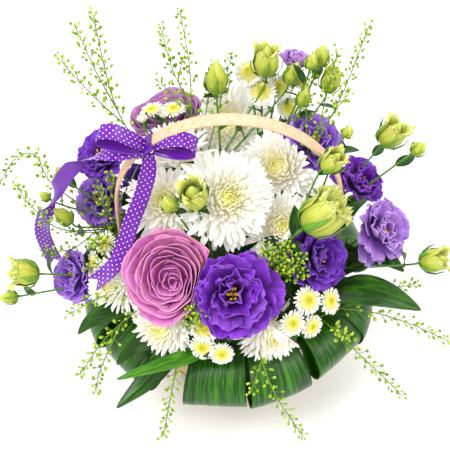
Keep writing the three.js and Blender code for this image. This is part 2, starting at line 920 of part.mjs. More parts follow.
// A pod spray's main stem and its side stems. Each is a list of places; a side stem starts with how far
// along the main stem it leaves it, and both give how far along themselves their pods begin.
const sprays = [
  {
    name: "pod_spray_upper_left",
    main: [0.62, [152, 52, 60], [153, 58, 150], [155, 59, 230], [154, 66, 337]],
    sides: [
      [0.62, 0.3, [159, 62, 280], [160, 64, 336]],
      [0.55, 0.3, [164, 60, 265], [169, 61, 323]],
    ],
  },
  {
    name: "pod_spray_top",
    main: [0.68, [110, 60, 62], [114, 60, 180], [120, 62, 235], [123, 65, 283]],
    sides: [
      [0.55, 0.4, [112, 64, 235], [113, 66, 292]],
      [0.72, 0.3, [115, 65, 247]],
      [0.3, 0.5, [98, 60, 175], [89, 61, 236]],
    ],
  },
  {
    name: "pod_spray_upper_right",
    main: [0.6, [30, 52, 62], [32, 55, 170], [31, 58, 240], [32, 61, 314]],
    sides: [
      [0.45, 0.4, [37, 58, 220], [38, 62, 277]],
      [0.6, 0.3, [28, 58, 244]],
    ],
  },
  {
    name: "pod_spray_left",
    main: [
      0.5, [172, 20, 50], [171, 25, 112], [177, 38, 215], [179, 45, 258], [181, 43, 274], [184, 36, 272],
    ],
    sides: [[0.3, 0.4, [185, 30, 190], [188, 37, 238], [189, 42, 270]]],
  },
  {
    name: "pod_spray_low_left",
    main: [0.5, [224, 24, 50], [225, 29, 122], [227, 22, 182], [230, 17, 226]],
    sides: [
      [0.65, 0.3, [231, 15, 200], [234, 13, 218]],
      [0.45, 0.4, [213, 27, 152], [206, 13, 180]],
    ],
  },
  {
    name: "pod_spray_front_left",
    main: [0.55, [247, 22, 50], [247, 21, 116], [251, 14, 165], [253, 5, 212]],
    sides: [[0.38, 0.4, [252, 34, 135], [253, 40, 150]]],
  },
  {
    name: "pod_spray_front",
    main: [0.5, [284, 22, 50], [283, 21, 116], [284, 13, 172], [289, 4, 213]],
    sides: [[0.55, 0.3, [277, 13, 174]]],
  },
  {
    name: "pod_spray_right",
    main: [0.5, [318, 20, 50], [317, 21, 118], [313, 15, 196], [315, 7, 234]],
    sides: [
      [0.3, 0.5, [326, 21, 170], [329, 17, 210], [331, 12, 244]],
      [0.5, 0.3, [310, 25, 192]],
      [0.42, 0.4, [335, 22, 178], [341, 20, 205]],
    ],
  },
  {
    name: "pod_cluster_front_right",
    main: [0.6, [300, 48, 50], [302, 50, 118], [296, 55, 138]],
    sides: [
      [0.75, 0.3, [308, 51, 132], [313, 51, 152]],
      [0.78, 0.3, [303, 51, 155]],
      [0.8, 0.3, [298, 59, 146]],
    ],
    size: 2.4,
    stalkLength: 6,
  },
];

const loops = [
  { turn: 265, width: 62, drop: 5 },
  { turn: 291, width: 64, drop: 4 },
  { turn: 318, width: 58, drop: -2 },
  { turn: 227, width: 66, drop: 0 },
  { turn: 199, width: 58, drop: 2 },
  { turn: 158, width: 70, drop: 3 },
  { turn: 124, width: 78, drop: 2 },
  { turn: 89, width: 78, drop: 4 },
  { turn: 54, width: 78, drop: 1 },
  { turn: 20, width: 60, drop: 3 },
  { turn: 341, width: 56, drop: 0 },
];

// Pointed leaves on short stalks: each blade has places along its midrib and a width.
const leafSprigs = [
  {
    name: "pointed_leaves_right",
    finish: leafGreen,
    root: [334, 20, 68],
    blades: [
      { places: [[332, 20, 112], [330, 25, 150], [329, 26, 190], [328, 24, 232]], width: 40 },
      { places: [[345, 20, 112], [349, 24, 140], [349, 24, 170], [346, 20, 190]], width: 30 },
      { places: [[14, 22, 108], [16, 26, 132], [18, 27, 150], [19, 25, 172]], width: 26 },
    ],
  },
  {
    name: "pointed_leaves_left",
    finish: leafGreen,
    root: [232, 14, 70],
    blades: [
      { places: [[220, 17, 112], [217, 20, 140], [216, 19, 170], [217, 16, 190]], width: 24 },
      { places: [[232, 15, 112], [233, 15, 140], [233, 16, 165], [233, 15, 184]], width: 20 },
      { places: [[244, 16, 110], [244, 14, 140], [242, 10, 172], [238, 5, 203]], width: 24 },
    ],
  },
  {
    name: "pale_leaf_front",
    finish: palerLeaf,
    root: [262, 20, 72],
    blades: [{ places: [[262, 18, 108], [254, 19, 146], [245, 19, 178], [238, 17, 206]], width: 16 }],
  },
  {
    name: "pointed_leaves_back",
    finish: leafGreen,
    root: [112, 24, 70],
    blades: [
      { places: [[112, 30, 116], [112, 36, 150], [113, 42, 190]], width: 32 },
      { places: [[98, 28, 116], [93, 35, 150], [88, 42, 185]], width: 30 },
      { places: [[126, 28, 116], [132, 34, 145], [140, 36, 180]], width: 30 },
    ],
  },
];

// ---- Assembly -----------------------------------------------------------------------------------
// The cut end of a stem in the foam. Steep stems stand deep, pointing at the bottom of the basket, and
// low ones are pushed in near the top of the foam, clear above the folded leaves.
function rootToward(spot) {
  const out = spot.clone().sub(heart);
  const rise = Math.asin(out.z / out.length()) / degrees;
  const steep = THREE.MathUtils.clamp((rise - 30) / 30, 0, 1);
  const aim = point(0, 0, mix(102, 40, steep));
  return spot.clone().sub(aim).normalize().multiplyScalar(mix(42, 66, steep)).add(aim);
}

// A flower's stalk runs from its cut end in the foam to its head; buds and daisies branch from the
// middle of it on stalks of their own.
function placeHeads(flower) {
  const radius = flower.stem ?? 1.5;
  const middle = flower.heads
    .reduce((sum, head) => sum.add(place(head.at)), point(0, 0, 0))
    .divideScalar(flower.heads.length);
  const foot = rootToward(flower.via ?? middle);
  flower.placed = [...flower.heads, ...(flower.buds ?? [])].map((head) => {
    const facing = towards(head.face);
    const at = place(head.at);
    const base = at.clone().addScaledVector(facing, -head.sunk);
    const root = base.clone().addScaledVector(facing, head.root ?? 0);
    const neck = base.clone().addScaledVector(facing, -12);
    return { ...head, facing, at, base, root, neck };
  });
  const [first] = flower.placed;
  const hub = flower.via ?? foot.clone().lerp(first.ownStalk ? middle : first.base, 0.62);
  if (first.ownStalk) flower.stalks = [{ points: [foot, hub], radius }];
  else flower.stalks = [{ points: [foot, hub, first.neck, first.root], radius }];
  flower.placed.forEach((head, i) => {
    const upright = new THREE.Quaternion().setFromUnitVectors(head.facing, point(0, 0, 1));
    const local = (spot) => spot.clone().sub(head.base).applyQuaternion(upright);
    const fork = hub.clone().lerp(foot, 0.06 * i);
    const tail = head.ownStalk ? [local(head.neck), local(fork)] : [];
    const room = 2 * tailRadius; // the stalk widens towards its head
    if (head.ownStalk) flower.stalks.push({ points: [fork, head.neck, head.base], radius: room });
    head.petals = set(head.shape(tail), head.base, head.facing);
  });
}

flowers.forEach(placeHeads);

// Things that keep their whole shape; wide is the same thing a little thicker, for cutting.
const roomy = 2 * clearance;
const stalkBody = ({ points, radius }, extra = 0) => stalk(points, radius + extra / 2);

function sprigBody({ root, blades }, extra = 0) {
  const start = rootToward(place(root));
  const first = place(blades[0].places[0]);
  const fork = start.clone().lerp(first, 0.72);
  const stem = [start, fork, fork.clone().lerp(first, 0.1)];
  const leaves = blades.map(({ places, width }) => blade([fork, ...places.map(place)], width, extra));
  return join([stalk(stem, sprigRadius + extra / 2), ...leaves]);
}

const keepers = [
  { name: "hoop_handle", body: handle(), wide: handle(roomy) },
  { name: "satin_ribbon", body: ribbon(), wide: ribbon(roomy) },
  ...loops.map((loop, i) => ({
    name: `folded_leaf_${i + 1}`,
    body: leafLoop(loop),
    wide: leafLoop(loop, roomy),
  })),
  ...leafSprigs.map((sprig) => ({
    name: sprig.name,
    body: sprigBody(sprig),
    wide: sprigBody(sprig, roomy),
  })),
];

const boxesMeet = (a, b) => {
  const p = a.boundingBox();
  const q = b.boundingBox();
  return [0, 1, 2].every((k) => p.min[k] < q.max[k] && q.min[k] < p.max[k]);
};

const cutBy = (body, tools) =>
  tools.reduce((left, tool) => (boxesMeet(left, tool) ? left.subtract(tool) : left), body);

// Each head keeps to its own share of the room: the plane between two heads lies where their spheres
// would cross, but leaves both of them at least part of their radius. Petals that would reach over the
// plane are drawn in towards the head's middle.
const leastShare = 0.45;

function limitsOf(head) {
  const limits = [];
  for (const other of flowers) {
    for (const rival of other.placed) {
      if (rival === head) continue;
      const apart = rival.at.clone().sub(head.at);
      const distance = apart.length();
      if (distance > head.cell + rival.cell) continue;
      const crossing = (distance ** 2 + head.cell ** 2 - rival.cell ** 2) / (2 * distance);
      const low = leastShare * head.cell;
      const high = distance - leastShare * rival.cell;
      const fair = (distance * head.cell) / (head.cell + rival.cell);
      const share = low < high ? THREE.MathUtils.clamp(crossing, low, high) : fair;
      limits.push({ normal: apart.divideScalar(distance), room: share - clearance / 2 });
    }
  }
  return limits;
}

function drawnIn(head) {
  const limits = limitsOf(head);
  const spots = head.petals.attributes.position;
  const spot = point(0, 0, 0);
  for (let i = 0; i < spots.count; i++) {
    spot.fromBufferAttribute(spots, i).sub(head.at);
    let keep = 1;
    const onStalk = head.ownStalk && spot.dot(head.facing) < -head.sunk - 3;
    for (const { normal, room } of onStalk ? [] : limits) {
      const out = spot.dot(normal);
      if (out > room) keep = Math.min(keep, room / out);
    }
    spot.multiplyScalar(keep).add(head.at);
    spots.setXYZ(i, spot.x, spot.y, spot.z);
  }
  return solid(head.petals);
}

const meets = (a, b) => boxesMeet(a, b) && !a.intersect(b).isEmpty();

const nodes = [];
const tunnels = flowers.map((flower) => flower.stalks.map((one) => stalkBody(one, roomy)));
const sprayStalks = sprays.map((spray) => podSpray(spray, roomy).stalks);
const thin = [...keepers.map((keeper) => keeper.wide), ...sprayStalks];
flowers.forEach((flower, i) => {
  const others = tunnels.filter((_, j) => j !== i).flat();
  const heads = flower.placed.map((head) => cutBy(drawnIn(head), [...thin, ...others]));
  const main = stalkBody(flower.stalks[0]);
  const whole = join([main, ...heads]);
  nodes.push({ name: flower.name, body: biggest(whole), finish: flower.finish });
});

// A pod that would stand inside a flower or a leaf isn't there.
const taken = [...nodes, ...keepers].map((node) => node.body);
for (const spray of sprays) {
  const { stalks, pods } = podSpray(spray);
  const wide = podSpray(spray, roomy).pods;
  const free = pods.filter((_, i) => !taken.some((body) => meets(body, wide[i])));
  const body = join([stalks, ...free]);
  taken.push(body);
  nodes.push({ name: spray.name, body, finish: podGreen });
}

// Straight three-sided holes in the foam, one for each stalk that stands in it, and slots for the leaves.
function hole([foot, next], radius) {
  const along = next.clone().sub(foot).normalize();
  const start = foot.clone().addScaledVector(along, -clearance);
  return stalk([start, start.clone().addScaledVector(along, 120)], (radius + clearance) * 2, 3);
}

const holes = [
  ...flowers.map((flower) => hole(flower.stalks[0].points, flower.stalks[0].radius)),
  ...sprays.map((spray) => hole(podSpray(spray).foot, podStemRadius)),
  ...leafSprigs.map(({ root, blades }) =>
    hole([rootToward(place(root)), place(blades[0].places[0])], sprigRadius),
  ),
  ...keepers.filter((keeper) => keeper.name.startsWith("folded_leaf")).map((keeper) => keeper.wide),
];
const foam = biggest(cutBy(foamBlock(), holes));

const wood = { color: 0xe9c9a4, roughness: 0.6 };
const chip = { color: 0xd8c3a0, roughness: 0.75 };
const film = { color: 0xdfe3e4, roughness: 0.3 };
const foamGreen = { color: 0x2f6b3a, roughness: 0.95 };
const satin = { color: 0x8a1fd0, roughness: 0.35 };

nodes.push({ name: "woven_basket", body: wovenBasket(), finish: chip });
nodes.push({ name: "basket_liner", body: liner(), finish: film });
nodes.push({ name: "floral_foam", body: foam, finish: foamGreen });
for (const { name, body } of keepers) {
  const sprig = leafSprigs.find((one) => one.name === name);
  let finish = leafGreen;
  if (name === "hoop_handle") finish = wood;
  else if (name === "satin_ribbon") finish = satin;
  else if (sprig) finish = sprig.finish;
  nodes.push({ name, body, finish });
}

const arrangement = new THREE.Group();
for (const { name, body, finish } of nodes) {
  const mesh = new THREE.Mesh(geometryOf(body), new THREE.MeshStandardMaterial(finish));
  mesh.name = name;
  arrangement.add(mesh);
}

export default arrangement;
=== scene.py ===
# Flower basket arrangement: a woven chip basket with a bent-wood hoop, lined with film and packed with
# chrysanthemums, roses, lisianthus, button daisies, pod sprays and folded leaves. Metres, +Z up.
# Sizes in the sections are millimetres and are turned to metres where a mesh is made.
import math
from functools import partial

import bpy
import numpy as np
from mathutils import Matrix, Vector


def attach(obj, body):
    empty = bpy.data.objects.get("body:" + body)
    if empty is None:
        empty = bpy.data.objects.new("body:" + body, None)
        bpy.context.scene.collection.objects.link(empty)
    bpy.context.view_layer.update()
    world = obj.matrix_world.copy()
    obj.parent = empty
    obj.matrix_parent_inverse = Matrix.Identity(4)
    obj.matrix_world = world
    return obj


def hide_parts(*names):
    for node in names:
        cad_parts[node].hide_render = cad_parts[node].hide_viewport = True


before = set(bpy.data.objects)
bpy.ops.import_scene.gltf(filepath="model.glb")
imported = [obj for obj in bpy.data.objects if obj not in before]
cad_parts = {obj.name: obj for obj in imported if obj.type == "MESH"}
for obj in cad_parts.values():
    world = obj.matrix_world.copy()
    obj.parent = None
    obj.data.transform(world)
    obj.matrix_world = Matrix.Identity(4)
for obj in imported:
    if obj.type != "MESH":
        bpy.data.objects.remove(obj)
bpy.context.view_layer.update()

# ---- The table it stands on, the light and the view ---------------------------------------------
# A plain sheet of white card on a studio table. One large soft box hangs high on the left and a weaker
# one on the right, and the white room fills the shadows. The camera looks down at 50 degrees.
MM = 0.001
EYE, AIM = (-0.004, -0.8356, 1.1809), (-0.004, 0.0, 0.185)  # the camera and the spot it looks at, in metres
LENS_MM, SENSOR_MM = 104.0, 36.0
LIT_SPOT = (0, 0, 0.18)  # what the soft boxes are turned to, in metres
CARD = 4  # half the card's side, in metres
ROOM_LIGHT = 0.95
TINT = {"data_type": "RGBA", "blend_type": "MULTIPLY"}  # how one colour darkens another
BLEND = {"data_type": "RGBA"}  # how one colour gives way to another


def linear(colour):
    """A colour written as sRGB hex, turned to the linear values that a shader takes."""
    parts = [int(colour[i : i + 2], 16) / 255 for i in (1, 3, 5)]
    return [c / 12.92 if c <= 0.04045 else ((c + 0.055) / 1.055) ** 2.4 for c in parts] + [1.0]


def add(tree, kind, inputs=None, ramp=None, **settings):
    """Adds a node. inputs go to its sockets, as links or as values, and ramp holds a ramp's colours."""
    made = tree.nodes.new("ShaderNode" + kind)
    for name, value in settings.items():
        setattr(made, name, value)
    for name, value in (inputs or {}).items():
        if isinstance(value, bpy.types.NodeSocket):
            tree.links.new(value, made.inputs[name])
        else:
            made.inputs[name].default_value = linear(value) if isinstance(value, str) else value
    for i, (spot, colour) in enumerate(ramp or []):
        stops = made.color_ramp.elements
        stop = stops[i] if i < len(stops) else stops.new(spot)
        stop.position = spot
        stop.color = linear(colour) if isinstance(colour, str) else (colour, colour, colour, 1)
    return made


def new_material(name, **values):
    """A material with its shader; values are the shader's own numbers, with _ for a space."""
    material = bpy.data.materials.new(name)
    material.use_nodes = True
    tree = material.node_tree
    shader = tree.nodes["Principled BSDF"]
    for key, value in values.items():
        shader.inputs[key.replace("_", " ")].default_value = value
    return material, tree, shader


def coloured(tree, shader, colour, height=None, strength=0.0, depth_mm=0.0):
    """Gives a surface its colour and, where it has one, the fine relief that height draws on it."""
    tree.links.new(colour, shader.inputs["Base Color"])
    if height is not None:
        relief = add(tree, "Bump", {"Height": height, "Strength": strength, "Distance": depth_mm * MM})
        tree.links.new(relief.outputs[0], shader.inputs["Normal"])


def let_light_through(tree, shader, colour, share):
    """Petals and thin leaves pass a share of the light on to their other side."""
    glow = add(tree, "BsdfTranslucent", {"Color": colour})
    mixed = add(tree, "MixShader", {0: share, 1: shader.outputs[0], 2: glow.outputs[0]})
    tree.links.new(mixed.outputs[0], tree.nodes["Material Output"].inputs["Surface"])


def look_at(thing, spot):
    """Turns a lamp or the camera to a spot."""
    away = thing.location - Vector(spot)
    thing.rotation_euler = away.to_track_quat("Z", "Y").to_euler()


table_card, tree, shader = new_material("white_card_matt_paper", Roughness=0.9)
fibres = add(tree, "TexNoise", {"Scale": 900.0, "Detail": 3.0})
tone = add(tree, "ValToRGB", {"Fac": fibres.outputs[0]}, ramp=[(0.3, "#f7f7f6"), (0.7, "#fbfbfa")])
coloured(tree, shader, tone.outputs[0])

mesh = bpy.data.meshes.new("table_card")
mesh.from_pydata([(-CARD, -CARD, 0), (CARD, -CARD, 0), (CARD, CARD, 0), (-CARD, CARD, 0)], [], [(0, 1, 2, 3)])
mesh.materials.append(table_card)
card = bpy.data.objects.new("table_card", mesh)
bpy.context.scene.collection.objects.link(card)

world = bpy.data.worlds.new("white_room")
bpy.context.scene.world = world
world.use_nodes = True
sky = world.node_tree.nodes["Background"]
sky.inputs["Color"].default_value = (1.0, 1.0, 1.0, 1.0)
sky.inputs["Strength"].default_value = ROOM_LIGHT

for name, place_m, size_m, watts in (
    ("soft_box_left", (-0.9, -0.7, 1.7), 0.9, 27.0),
    ("soft_box_right", (1.3, -0.3, 1.3), 0.8, 10.0),
    ("soft_box_back", (0.2, 1.5, 1.5), 0.9, 12.0),
):
    lamp = bpy.data.lights.new(name, "AREA")
    lamp.size = size_m
    lamp.energy = watts
    box = bpy.data.objects.new(name, lamp)
    box.location = place_m
    look_at(box, LIT_SPOT)
    bpy.context.scene.collection.objects.link(box)

camera = bpy.data.cameras.new("camera")
camera.lens = LENS_MM
camera.sensor_width = SENSOR_MM
eye = bpy.data.objects.new("camera", camera)
eye.location = EYE
look_at(eye, AIM)
bpy.context.scene.collection.objects.link(eye)
bpy.context.scene.camera = eye
bpy.context.scene.view_settings.view_transform = "Standard"

# ---- Basket ---------------------------------------------------------------------------------------
# A round basket woven from wide splints of thin-sawn pine chip over flat uprights that turn under the
# base. A thicker hoop of the same wood lies outside and inside the rim and is lashed with a narrow
# splint. Nothing is glued or stained, so the wood is dry and matt and has yellowed a little.
BASE_RADIUS, RIM_RADIUS, BASKET_HEIGHT = 76.0, 112.0, 105.0
CHIP = 1.1  # thickness of a splint
rng = np.random.default_rng(11)


def catmull(points, count):
    """count points and directions along a smooth line through points, evenly spaced by index."""
    points = np.asarray(points, float)
    all_points = np.vstack([2 * points[0] - points[1], points, 2 * points[-1] - points[-2]])
    spot = np.linspace(0, len(points) - 1 - 1e-9, count)
    k = spot.astype(int)
    t = (spot - k)[:, None]
    a, b, c, d = (all_points[k + i] for i in range(4))
    return 0.5 * (2 * b + (c - a) * t + (2 * a - 5 * b + 4 * c - d) * t**2 + (3 * b - a - 3 * c + d) * t**3)


def even(points, count):
    """The same smooth line with its points evenly spaced by length, and the length."""
    dense = catmull(points, 24 * len(points))
    step = np.linalg.norm(np.diff(dense, axis=0), axis=1)
    run = np.concatenate([[0], np.cumsum(step)])
    at = np.linspace(0, run[-1], count)
    return np.stack([np.interp(at, run, dense[:, i]) for i in range(3)], axis=1), run[-1]


def unit(v):
    """Vectors of length 1."""
    return v / np.maximum(np.linalg.norm(v, axis=-1, keepdims=True), 1e-9)


def ringed(radius, turn, height):
    """Spots at a radius, a turn round +Z in radians and a height."""
    return np.stack(np.broadcast_arrays(radius * np.cos(turn), radius * np.sin(turn), height), axis=-1)


def uv_grid(across, along, wide=1.0, tall=1.0):
    """UVs spread evenly over a sheet of across x along points, up to wide and tall."""
    return np.stack(np.meshgrid(np.linspace(0, wide, across), np.linspace(0, tall, along)), axis=-1)


def each(value, n, axes):
    """One value for each of n pieces, with as many empty axes after it."""
    return np.broadcast_to(np.asarray(value, float), n).reshape(n, *[1] * axes)


def body_of(points, faces, uv, age, own, back=0.0):
    """A body of points in a grid of any shape. Each point has a UV and the three numbers that materials
    read: age and own change from sheet to sheet, and back is 1 on a sheet's underside."""
    grid = points.shape[:-1]
    marks = {"age": age, "own": own, "back": back}
    return {
        "points": points.reshape(-1, 3),
        "faces": faces,
        "uv": np.broadcast_to(uv, (*grid, 2)).reshape(-1, 2),
        **{mark: np.broadcast_to(value, grid).reshape(-1) for mark, value in marks.items()},
    }


def skinned(rings, age=0.0, own=0.5, uv=None):
    """Closed bodies from rings of points, (body, ring, round, 3): walls between rings, and two ends."""
    n, a, sides, _ = rings.shape
    index = np.arange(n * a * sides).reshape(n, a, sides)
    nxt = np.roll(index, -1, axis=2)
    walls = np.stack([index[:, :-1], nxt[:, :-1], nxt[:, 1:], index[:, 1:]], axis=-1).reshape(-1, 4)
    uv = uv_grid(sides, a, wide=1 - 1 / sides) if uv is None else uv
    return body_of(rings, [walls, index[:, 0, ::-1], index[:, -1]], uv, age, own)


def sheets(spots, thickness, age=0.0, own=None, uv=None, rim=0.35):
    """Thin closed sheets. spots is (sheet, along, across, 3); each gets two faces and a rim, which is
    thinner than the middle by the factor rim."""
    n, a, b, _ = spots.shape
    normal = unit(np.cross(np.gradient(spots, axis=2), np.gradient(spots, axis=1)))
    edge = np.minimum(1, rim + (1 - rim) * 2.2 * (1 - np.abs(np.linspace(-1, 1, b))))
    half = (np.asarray(thickness) / 2) * edge[None, None, :, None]
    points = np.stack([spots + normal * half, spots - normal * half], axis=1)
    index = np.arange(n * 2 * a * b).reshape(n, 2, a, b)
    top, low = index[:, 0], index[:, 1]

    def quads(p, q, r, s):
        return np.stack([p, q, r, s], axis=-1).reshape(-1, 4)

    faces = [
        quads(top[:, :-1, :-1], top[:, :-1, 1:], top[:, 1:, 1:], top[:, 1:, :-1]),
        quads(low[:, :-1, :-1], low[:, 1:, :-1], low[:, 1:, 1:], low[:, :-1, 1:]),
        quads(low[:, 0, :-1], low[:, 0, 1:], top[:, 0, 1:], top[:, 0, :-1]),
        quads(top[:, -1, :-1], top[:, -1, 1:], low[:, -1, 1:], low[:, -1, :-1]),
        quads(top[:, :-1, 0], top[:, 1:, 0], low[:, 1:, 0], low[:, :-1, 0]),
        quads(low[:, :-1, -1], low[:, 1:, -1], top[:, 1:, -1], top[:, :-1, -1]),
    ]
    own = rng.random(n) if own is None else own
    under = np.array([0.0, 1.0]).reshape(1, 2, 1, 1)
    uv = uv_grid(b, a) if uv is None else uv
    return body_of(points, [np.vstack(faces)], uv, each(age, n, 3), each(own, n, 3), under)


def tubes(paths, radii, sides, age=0.0):
    """Round closed tubes. paths is (tube, along, 3), radii one number, or one for each point."""
    n, a, _ = paths.shape
    along = unit(np.gradient(paths, axis=1))
    chord = np.abs(paths[:, -1] - paths[:, 0])
    level = np.eye(3)[np.argmin(chord, axis=1)][:, None, :]
    side = unit(np.cross(along, level))
    face = np.cross(along, side)
    angle = np.arange(sides) * 2 * np.pi / sides
    radii = np.broadcast_to(radii, (n, a))[..., None, None]
    ring = np.cos(angle)[:, None] * side[:, :, None] + np.sin(angle)[:, None] * face[:, :, None]
    return skinned(paths[:, :, None] + radii * ring, each(age, n, 2), each(rng.random(n), n, 2))


def turned(profile, count, wave=None, age=0.0):
    """A closed body turned round Z from (radius, height) points; wave(angle, k) changes the radius."""
    angle = np.arange(count) * 2 * np.pi / count
    rings = [ringed(r + (wave(angle, k) if wave else 0), angle, z) for k, (r, z) in enumerate(profile)]
    return skinned(np.stack(rings)[None], age)


def together(parts):
    """Several bodies as one."""
    faces = []
    start = 0
    for part in parts:
        faces += [face + start for face in part["faces"]]
        start += len(part["points"])
    whole = {key: np.concatenate([part[key] for part in parts]) for key in parts[0] if key != "faces"}
    return {**whole, "faces": faces}


def moved(part, turn, to):
    """A body turned by a 3 x 3 matrix and moved."""
    return {**part, "points": part["points"] @ np.asarray(turn).T + np.asarray(to)}


def make(name, part, material, slot, stands_for=()):
    """Makes the Blender object of a body: it rides on the basket and takes the material given. slot is not
    used.
    """
    mesh = bpy.data.meshes.new(name)
    rows = [row for face in part["faces"] for row in face.tolist()]
    mesh.from_pydata((part["points"] * MM).tolist(), [], rows)
    corner = np.zeros(len(mesh.loops), np.int32)
    mesh.loops.foreach_get("vertex_index", corner)
    layer = mesh.uv_layers.new(name="surface")
    layer.data.foreach_set("uv", part["uv"][corner].astype(np.float32).ravel())
    for mark in ("age", "own", "back"):
        layer = mesh.attributes.new(mark, "FLOAT", "POINT")
        layer.data.foreach_set("value", part[mark].astype(np.float32))
    mesh.polygons.foreach_set("use_smooth", np.ones(len(mesh.polygons), bool))
    mesh.materials.append(material)
    mesh.validate()
    piece = bpy.data.objects.new(name, mesh)
    bpy.context.scene.collection.objects.link(piece)
    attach(piece, "root")
    if stands_for:
        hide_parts(*stands_for)
    return piece


# Thin-sawn pine chip: dry and matt, with straight brown grain lines a millimetre or two apart and a
# grey-cream tone that changes from splint to splint.
pine_chip, tree, shader = new_material("pine_chip_sawn_dry", Roughness=0.72, Specular_IOR_Level=0.3)
surface = add(tree, "UVMap", uv_map="surface")
own = add(tree, "Attribute", attribute_name="own")
stretched = add(tree, "Mapping", {"Vector": surface.outputs[0], "Scale": (9.0, 1.2, 1.0)})
shifted = add(tree, "VectorMath", {0: stretched.outputs[0], 1: own.outputs["Vector"]}, operation="ADD")
grain = add(tree, "TexNoise", {"Vector": shifted.outputs[0], "Scale": 3.0, "Detail": 6.0, "Roughness": 0.65})
wood_tones = [(0.25, "#a98a60"), (0.45, "#cdb488"), (0.6, "#dccaa4"), (0.8, "#e9dcc0")]
wood_tone = add(tree, "ValToRGB", {"Fac": grain.outputs[0]}, ramp=wood_tones)
splint_tones = [(0.0, "#dccfb6"), (0.5, "#f4ecdc"), (1.0, "#ffffff")]
splint_tone = add(tree, "ValToRGB", {"Fac": own.outputs["Fac"]}, ramp=splint_tones)
both = add(tree, "Mix", {0: 1.0, 6: wood_tone.outputs[0], 7: splint_tone.outputs[0]}, **TINT)
coloured(tree, shader, both.outputs[2], grain.outputs[0], 0.35, 0.6)


def wall_radius(height):
    """The radius of the wall's outside at a height."""
    return BASE_RADIUS + (RIM_RADIUS - BASE_RADIUS) * height / BASKET_HEIGHT


def splint(spots, tall, thick=CHIP, own=None, rim=0.8):
    """A splint by its middle surface, (along, across, 3); tall is how far its grain runs in UVs."""
    along, across, _ = spots.shape
    return sheets(spots[None], thick, own=own, uv=uv_grid(across, along, tall=tall), rim=rim)


UPRIGHTS = 24
COURSE, COURSES = 12.6, 7  # height of a woven splint, and how many go up the wall
WEAVE = 0.95  # how far a splint swings in and out
WEAVE_START = 5.0  # height of the lowest splint's edge
WEAVE_GAP = 0.5  # half the gap between two splints
WEAVE_MIDDLE = 1.7  # from the wall's outside to the middle of the weave
ROUND_UV = 34  # what the grain's UVs run to, once round the basket
parts = []
angles = np.linspace(0, 2 * np.pi, UPRIGHTS * 8 + 1)[:, None]
for k in range(COURSES):
    low = WEAVE_START + k * COURSE
    height = np.linspace(low + WEAVE_GAP, low + COURSE - WEAVE_GAP, 4)[None, :]
    swing = WEAVE * np.cos(UPRIGHTS / 2 * angles) * (-1) ** k
    parts.append(splint(ringed(wall_radius(height) - WEAVE_MIDDLE + swing, angles, height), ROUND_UV))
for j in range(UPRIGHTS):
    turn = j * 2 * np.pi / UPRIGHTS
    heights = np.concatenate([[0.6, 0.6, 1.2], np.linspace(4, 97, 60)])
    swing = -WEAVE * (-1) ** j * np.cos(np.pi * (heights - WEAVE_START - COURSE / 2) / COURSE)
    radius = wall_radius(heights) - WEAVE_MIDDLE + swing
    radius[:3] = [30, BASE_RADIUS - 9, BASE_RADIUS - 3.5]  # the foot turns in under the base
    width = np.linspace(12, 17, len(heights)) * np.clip(radius / 60, 0.42, 1)
    across = np.linspace(-0.5, 0.5, 4)[None, :] * width[:, None]
    radius = radius[:, None] + 0 * across
    out = np.array([math.cos(turn), math.sin(turn)])
    side = np.array([-math.sin(turn), math.cos(turn)])
    flat = radius[..., None] * out + across[..., None] * side
    flat *= (radius / np.hypot(radius, across))[..., None]
    spots = np.concatenate([flat, np.broadcast_to(heights[:, None, None], (*radius.shape, 1))], axis=-1)
    parts.append(splint(spots, 8))
# The base is a disc of wider chips laid side by side, then crossed by as many underneath.
BASE_CHIPS, CHIP_STEP, CHIP_WIDTH = 9, 15.6, 14.8
for turn, height in ((0.0, 2.6), (math.pi / 2, 1.6)):
    for k in range(BASE_CHIPS):
        middle = (k - BASE_CHIPS // 2) * CHIP_STEP
        half = math.sqrt(max(70.0**2 - middle**2, 100))
        wide = np.linspace(-CHIP_WIDTH / 2, CHIP_WIDTH / 2, 3)
        x, y = np.meshgrid(np.linspace(-half, half, 12), wide + middle, indexing="ij")
        c, s = math.cos(turn), math.sin(turn)
        parts.append(splint(np.stack([c * x - s * y, s * x + c * y, height + 0 * x], axis=-1), 6, 0.9))
# The two rim hoops and the splint that lashes them.
for low, high, radius, thick in ((95.0, 104.0, 113.2, 2.2), (96.0, 104.4, 107.0, 1.8)):
    height = np.linspace(low, high, 4)[None, :]
    parts.append(splint(ringed(radius + 0.34 * (height - 100), angles, height), ROUND_UV, thick, rim=0.6))
LASHINGS = 44  # turns of the lashing round the rim
run = np.linspace(0, 2 * np.pi, LASHINGS * 16 + 1)[:, None]
turn = run + np.linspace(-2.6, 2.6, 3)[None, :] / 110.0
lashing = ringed(110.6 + 4.8 * np.cos(run * LASHINGS), turn, 100.2 + 6.2 * np.sin(run * LASHINGS))
parts.append(splint(lashing, 120, 0.7, own=0.8))
make("basket_weave", together(parts), pine_chip, "chip_weave", ["woven_basket"])

# ---- Hoop handle ----------------------------------------------------------------------------------
# One strip of pale beech, steamed and bent over a form. Its legs are pushed down inside the wall, between
# the weave and the liner, which grip them. The faces are planed and the edges broken by hand.
HOOP_REACH, HOOP_SHOULDER, HOOP_TOP = 110.0, 220.0, 335.0
HOOP_WIDTH, HOOP_THICK = 14.0, 3.0


def hoop_spot(x):
    """A spot on the hoop's middle line above its shoulders, at a distance along X."""
    rise = HOOP_TOP - HOOP_SHOULDER
    return np.array([x, 0.0, HOOP_SHOULDER + rise * math.sqrt(1 - (x / HOOP_REACH) ** 2)])


def streaks(tree, at, across, along, **noise):
    """Noise drawn out lengthwise: across and along are how often it changes over the UVs at."""
    stretched = add(tree, "Mapping", {"Vector": at, "Scale": (across, along, 1.0)})
    return add(tree, "TexNoise", {"Vector": stretched.outputs[0], **noise}).outputs


